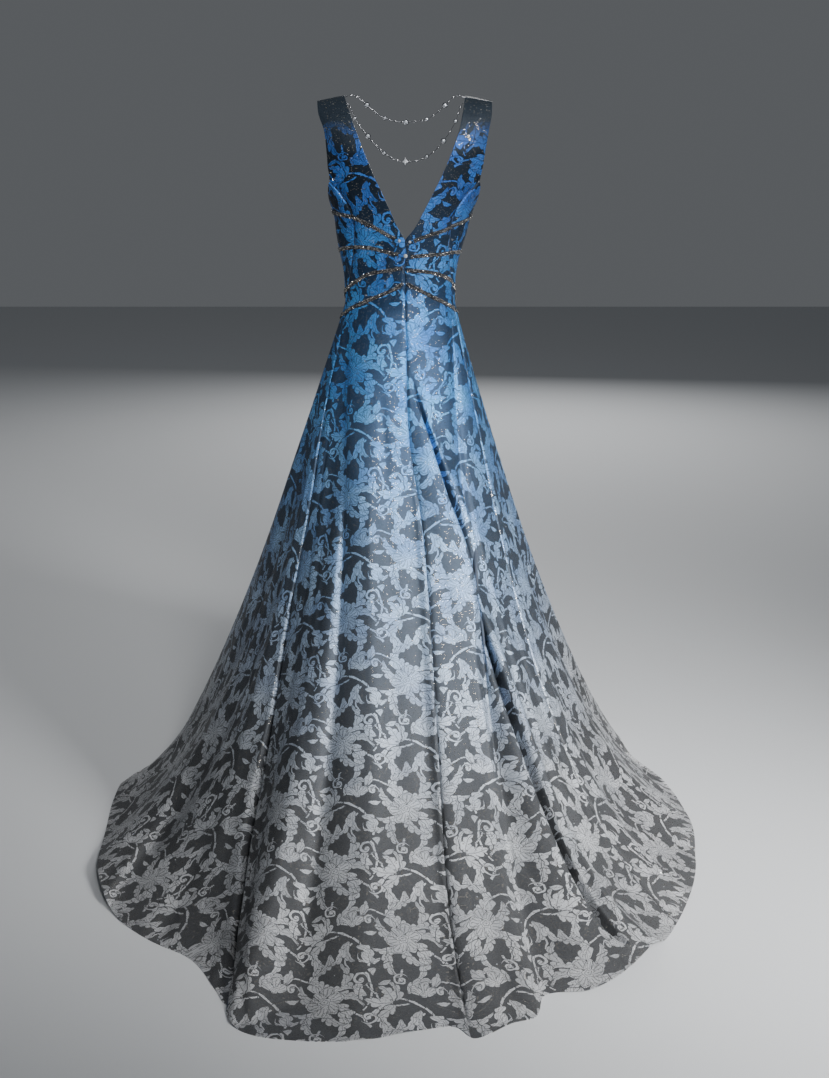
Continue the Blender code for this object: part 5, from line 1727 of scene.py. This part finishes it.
    def own_places(self, n: Nodes, local: object, stamp: Stamp) -> object:
        """Places as a stamp sees them: from its foot along its axis, or round the middle of its bend."""
        turn, middle, scale = math.radians(stamp.turn), (stamp.x, stamp.y, 0.0), (1.0, 1.0, 1.0)
        if stamp.motif in (LEAF, PETAL):
            scale = (stamp.size, stamp.width, 1.0)
        elif stamp.motif is HEART:
            scale = (stamp.size, stamp.size, 1.0)
        elif stamp.motif is not CURL:
            side = math.copysign(1.0, stamp.bend)
            radius = side * stamp.size / math.radians(abs(stamp.bend))
            middle = (stamp.x - radius * math.sin(turn), stamp.y + radius * math.cos(turn), 0.0)
            turn -= side * math.pi / 2
            scale = (1.0, side, 1.0)
        return n.add("Mapping", local, middle, (0.0, 0.0, turn), scale, vector_type="TEXTURE")

    def stamped(self, n: Nodes, local: object, tone: object, stamp: Stamp) -> object:
        """The weave's tone once a stamp is laid over it, with a thin line of ground round the stamp.

        Args:
            n: the tree.
            local: the places round the cluster's middle.
            tone: the tone so far, 0 for ground and 1 for ornament.
            stamp: the ornament.

        Returns:
            The new tone.
        """
        own = self.own_places(n, local, stamp)
        x = n.add("SeparateXYZ", own)
        y = x.node.outputs["Y"]
        ink = None
        if stamp.motif in (LEAF, PETAL):
            draw = self.leaf if stamp.motif is LEAF else self.petal
            inside, ink = draw(n, x, y, stamp)
        else:
            r = n.add("VectorMath", own, operation="LENGTH", out="Value")
            angle = n.add("ARCTAN2", y, x)
            if stamp.motif is HEART:
                inside, ink = self.heart(n, r, angle, stamp)
            elif stamp.motif is CURL:
                inside = self.curl(n, r, angle, stamp)
            else:
                along = n.add("DIVIDE", angle, math.radians(abs(stamp.bend)))
                if stamp.motif is SCROLL:
                    inside, ink = self.scroll(n, r, along, stamp)
                else:
                    inside = self.stem(n, r, along, stamp)
        own_tone: object = stamp.level
        if ink is not None:
            own_tone = n.add("MULTIPLY_ADD", ink, -self.vein_depth * stamp.level, stamp.level)
        kept = n.add("MULTIPLY", tone, n.add("LESS_THAN", inside, -self.outline))
        laid = n.add("MULTIPLY", n.add("GREATER_THAN", inside, 0.0), own_tone)
        return n.add("MAXIMUM", kept, laid)

    def ramp(self, n: Nodes, height: object, colours: tuple[str, ...]) -> object:
        """A colour that changes down the gown, from the hem's colour at 0 to the shoulders' at 1."""
        socket = n.add("ValToRGB", height)
        stops = socket.node.color_ramp.elements
        while len(stops) < len(self.heights):
            stops.new(0.5)
        for stop, place, code in zip(stops, self.heights, colours):
            stop.position = place
            stop.color = srgb(code)
        return socket

    def make(self) -> Material:
        """The material."""
        material, n, shader = PlainFinish(self.name, self.plain_colour, self.plain_roughness).make()
        shader.inputs["Specular IOR Level"].default_value = self.specular
        places = self.places(n)
        tone: object = 0.0
        for middle, stamps in (((0.0, 0.0), PEONY), ((0.0, self.repeat_height / 2), SPRAY)):
            local = self.repeat(n, places, middle)
            for stamp in stamps:
                tone = self.stamped(n, local, tone, stamp)
        spot = n.add("TexCoord", out="Object")
        z = n.add("SeparateXYZ", spot).node.outputs["Z"]
        plain = n.add("MapRange", z, self.plain_from, self.plain_to, 1.0, 0.0)
        tone = n.add("MULTIPLY", tone, plain)
        # Lurex: single bright threads of the weft, drawn three times as coarse as they are
        size = (self.lurex_cell, self.lurex_cell * self.lurex_squash, 1.0)
        cell = n.add("VectorMath", places, size, operation="SNAP")
        glint = n.add("TexWhiteNoise", cell, noise_dimensions="2D")
        bright = n.add("GREATER_THAN", glint, self.lurex_from)
        height = n.add("MapRange", z, self.hem_height, 0.0, 0.0, 1.0)
        cloud = n.add("TexNoise", places, None, *self.cloud_grain, noise_dimensions="2D")
        cloud = n.add("MapRange", cloud, *self.cloud_range)
        light = self.ramp(n, height, self.motif_colours)
        deep = self.ramp(n, height, self.deep_colours)
        ground = self.ramp(n, height, self.ground_colours)
        motif = n.add("MixRGB", cloud, light, deep)
        thread = n.add("MULTIPLY_ADD", glint, *self.thread_light)
        colour = n.add("MixRGB", tone, ground, motif)
        scaled = n.add("MixRGB", 1.0, colour, thread, blend_type="MULTIPLY")
        lit = n.add("MixRGB", n.add("MULTIPLY", bright, self.lurex_cover), scaled, srgb(self.lurex_colour))
        n.tree.links.new(lit, shader.inputs["Base Color"])
        woven = n.add("MULTIPLY_ADD", tone, *self.weave_metal)
        metal = n.add("MULTIPLY", woven, n.add("MULTIPLY_ADD", plain, *self.plain_metal))
        metal = n.add("MAXIMUM", metal, n.add("MULTIPLY", bright, self.lurex_metal))
        n.tree.links.new(metal, shader.inputs["Metallic"])
        rough = n.add("MULTIPLY_ADD", tone, *self.weave_roughness)
        rough = n.add("SUBTRACT", rough, n.add("MULTIPLY", bright, self.lurex_gloss))
        n.tree.links.new(rough, shader.inputs["Roughness"])
        twill = n.add("VectorMath", places, self.twill, operation="DOT_PRODUCT", out="Value")
        slub = n.add("TexNoise", places, None, *self.slub_grain, noise_dimensions="2D")
        relief = n.add("MULTIPLY_ADD", n.add("SINE", twill), self.twill_height, slub)
        n.tree.links.new(n.add("Bump", *self.relief, None, relief), shader.inputs["Normal"])
        return material


@dataclass(frozen=True)
class Lining:
    """Acetate satin lining: smooth, with a soft broad shine and a faint crosswise slub."""

    name: str = "acetate_satin_lining"
    colour: str = "#3b4452"
    paler: str = "#4b5666"
    plain_roughness: float = 0.40
    slub_size: Triple = (9.0, 260.0, 0.0)
    slub_grain: Triple = (1.0, 3.0, 0.6)
    roughness: Pair = (0.16, 0.32)
    relief: Pair = (0.2, 0.0003)
    sheen: float = 0.15

    def make(self) -> Material:
        """The material."""
        material, n, shader = PlainFinish(self.name, self.colour, self.plain_roughness).make()
        places = n.add("VectorMath", n.add("UVMap", uv_map=CLOTH_UV), self.slub_size, operation="MULTIPLY")
        slub = n.add("TexNoise", places, None, *self.slub_grain, noise_dimensions="2D")
        shade = n.add("MixRGB", slub, srgb(self.colour), srgb(self.paler))
        n.tree.links.new(shade, shader.inputs["Base Color"])
        n.tree.links.new(n.add("MULTIPLY_ADD", slub, *self.roughness), shader.inputs["Roughness"])
        n.tree.links.new(n.add("Bump", *self.relief, None, slub), shader.inputs["Normal"])
        shader.inputs["Sheen Weight"].default_value = self.sheen
        return material


@dataclass(frozen=True)
class Speckled:
    """A hard finish that differs a little from one small piece to the next, as beads of one string do."""

    plain: PlainFinish
    other: str
    rough_low: float
    rough_high: float
    grain: Triple = (900.0, 2.0, 0.5)
    grain_share: float = 0.35
    piece_share: float = 0.8

    def make(self) -> Material:
        """The material."""
        material, n, shader = self.plain.make()
        chance = n.add("NewGeometry", out="Random Per Island")
        grain = n.add("TexNoise", n.add("TexCoord", out="Object"), None, *self.grain)
        mixed = n.add("MULTIPLY_ADD", grain, self.grain_share, n.add("MULTIPLY", chance, self.piece_share))
        shade = n.add("MixRGB", mixed, srgb(self.plain.colour), srgb(self.other))
        n.tree.links.new(shade, shader.inputs["Base Color"])
        span = self.rough_high - self.rough_low
        n.tree.links.new(n.add("MULTIPLY_ADD", grain, span, self.rough_low), shader.inputs["Roughness"])
        return material


# Cut black glass beads: near black, with sharp bright glints from their facets
BLACK_BEADS = Speckled(
    PlainFinish("cut_glass_beads_black", "#1b1c20", 0.14, 0.25, 1.52, coat=0.6), "#4a4a4e", 0.08, 0.24
)
# Silver-lined beads: a grey-gold flash among the black ones
PALE_BEADS = Speckled(
    PlainFinish("cut_glass_beads_silver_lined", "#96989c", 0.2, 0.75), "#d8d5cc", 0.12, 0.30
)
# Nylon net tape: matt and almost black, it closes the gaps between the beads
NET_TAPE = Speckled(PlainFinish("nylon_net_tape", "#16181c", 0.85), "#24272d", 0.75, 0.95)
# Rhodium-plated brass wire and cups: a dark grey metal, darker than the plating itself; the darkness is a
# painted reflection of dark surroundings, so the cups read as dark rings
PAINTED_DARK_WIRE_METAL = Speckled(PlainFinish("rhodium_wire_painted_dark", "#5f6065", 0.30, 1.0), "#84858a", 0.22, 0.38)
# Faceted rhodium beads: brighter than the wire, so that they stand out from it one by one
BEAD_METAL = Speckled(PlainFinish("rhodium_plated_beads", "#a2a3a7", 0.20, 1.0), "#c8c9cc", 0.14, 0.30)
# Foil-backed crystal: a near-white colour with some metal, a painted highlight that stands in for the glint
# of clear glass over a mirror, so it is bright from every side
PAINTED_BRIGHT_CRYSTAL = Speckled(
    PlainFinish("crystal_painted_bright", "#f4f7fa", 0.06, 0.42, 1.55, coat=1.0), "#e4ebf2", 0.04, 0.10
)


@dataclass
class SewnStones:
    """Small foil-backed stones sewn here and there on the cloth, closer together on the bodice."""

    count: int = 460
    smallest: float = 0.75 * MM
    largest: float = 1.25 * MM
    waist_height: float = -0.46
    skirt_share: float = 0.22
    gem: Pairs = ((0.0, 0.0), (0.9, 0.0), (1.0, 0.35), (0.62, 0.85), (0.0, 0.95))
    gem_sides: int = 7
    lift: float = 0.1 * MM
    seed: int = 11

    def build(self, pieces: list[CutPiece], glass: Material) -> None:
        """Builds the stones, hangs them on the root and logs their count.

        Args:
            pieces: the cut pieces that carry them.
            glass: their finish.
        """
        random = np.random.default_rng(self.seed)
        corners = np.concatenate([piece.outer[piece.quads] for piece in pieces])
        a, b, c, d = (corners[:, k] for k in range(4))
        cross = np.cross(c - a, d - b)
        area = np.linalg.norm(cross, axis=1)
        height = corners[:, :, 2].mean(axis=1)
        weight = area * np.where(height > self.waist_height, 1.0, self.skirt_share)
        chosen = random.choice(len(corners), self.count, replace=False, p=weight / weight.sum())
        stone = turned(self.gem, self.gem_sides)
        draft = Draft()
        for k in chosen:
            u, v = random.random(2)
            spot = Vector(blend(blend(a[k], b[k], u), blend(d[k], c[k], u), v))
            normal = Vector(cross[k]).normalized()
            if normal.dot(Vector((spot.x, spot.y, 0.0))) < 0:
                normal = -normal
            size = random.uniform(self.smallest, self.largest)
            turn = normal.to_track_quat("Z", "Y").to_matrix().to_4x4()
            draft.add(*stone, Matrix.Translation(spot + normal * self.lift) @ turn @ Matrix.Scale(size, 4))
        piece = draft.build("sewn_stones", [glass], smooth=False)
        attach(piece, ROOT)
        log.info("sewn_stones: %d", self.count)


UPPER_ROUTE = (
    (-0.1236, -0.001), (-0.116, -0.0044), (-0.101, -0.004), (-0.09, 0.003), (-0.077, 0.014),
    (-0.054, 0.033), (-0.039, 0.041), (-0.017, 0.0472), (0.005, 0.049), (0.027, 0.0476),
    (0.049, 0.043), (0.069, 0.031), (0.087, 0.015), (0.1, 0.002), (0.111, -0.005),
    (0.12, -0.0046), (0.1299, 0.0001),
)
LOWER_ROUTE = (
    (-0.1198, 0.0095), (-0.1155, 0.012), (-0.11, 0.021), (-0.102, 0.041), (-0.089, 0.06),
    (-0.075, 0.077), (-0.059, 0.096), (-0.041, 0.112), (-0.02, 0.1245), (0.003, 0.13),
    (0.027, 0.128), (0.049, 0.119), (0.068, 0.105), (0.084, 0.087), (0.098, 0.068),
    (0.109, 0.047), (0.1172, 0.024), (0.1215, 0.012), (0.1264, 0.009),
)
UPPER_STONES = (
    ("bead_upper_1", -0.0770, 0.0058),
    ("bead_upper_2", -0.0390, 0.0043),
    ("bead_upper_3", 0.0050, 0.0058),
    ("bead_upper_4", 0.0490, 0.0043),
    ("bead_upper_5", 0.0870, 0.0058),
)
LOWER_STONES = (
    ("bead_lower_1", -0.1020, 0.0043),
    ("bead_lower_2", -0.0750, 0.0058),
    ("bead_lower_3", -0.0410, 0.0043),
    ("drop_stone", 0.0030, 0.0075),
    ("bead_lower_4", 0.0490, 0.0043),
    ("bead_lower_5", 0.0840, 0.0058),
    ("bead_lower_6", 0.1090, 0.0043),
)


def main() -> None:
    """Builds the looks in order: camera, strands, cut pieces, then the trim that lies on them."""
    logging.basicConfig(level=logging.INFO, format="%(message)s")
    studio = Studio()
    studio.camera()
    metal, bead, crystal = PAINTED_DARK_WIRE_METAL.make(), BEAD_METAL.make(), PAINTED_BRIGHT_CRYSTAL.make()
    BeadStrand("strand_upper", -0.022, UPPER_ROUTE, 0.289, UPPER_STONES).build(metal, bead, crystal)
    BeadStrand("strand_lower", -0.034, LOWER_ROUTE, 0.366, LOWER_STONES).build(metal, bead, crystal)

    form = GownForm()
    cloth = [Brocade().make(), Lining().make()]
    pieces = [
        BackPiece(form, "back_left", -1, 90, (0.487, 2.156), 0.631, pattern_shift=(0.03, 0.06)),
        BackPiece(form, "back_right", 1, 118, (0.597, 2.043), 0.579, pattern_shift=(0.10, -0.02)),
        SideBackPiece(form, "side_back_left", -1, 128, (1.219, 1.655), 0.640, pattern_shift=(0.05, 0.10)),
        SideBackPiece(form, "side_back_right", 1, 118, (0.920, 1.561), 0.484, pattern_shift=(0.02, 0.04)),
        FrontPiece(form, "front", -1, 74, (1.269, 1.599), 0.949, pattern_shift=(0.0, 0.05)),
    ]
    for piece in pieces:
        made = piece.build(cloth)
        piece.dress(made)
    surface = Surface(form, pieces[:4])
    random = np.random.default_rng(5)
    beading = [NET_TAPE.make(), BLACK_BEADS.make(), PALE_BEADS.make()]
    for band in BANDS:
        band.build(surface, beading, random)
    for stone in CRYSTALS:
        stone.build(surface, metal, crystal)
    SewnStones().build(pieces, crystal)
    studio.floor()
    studio.light_up()


if __name__ == "__main__":
    main()
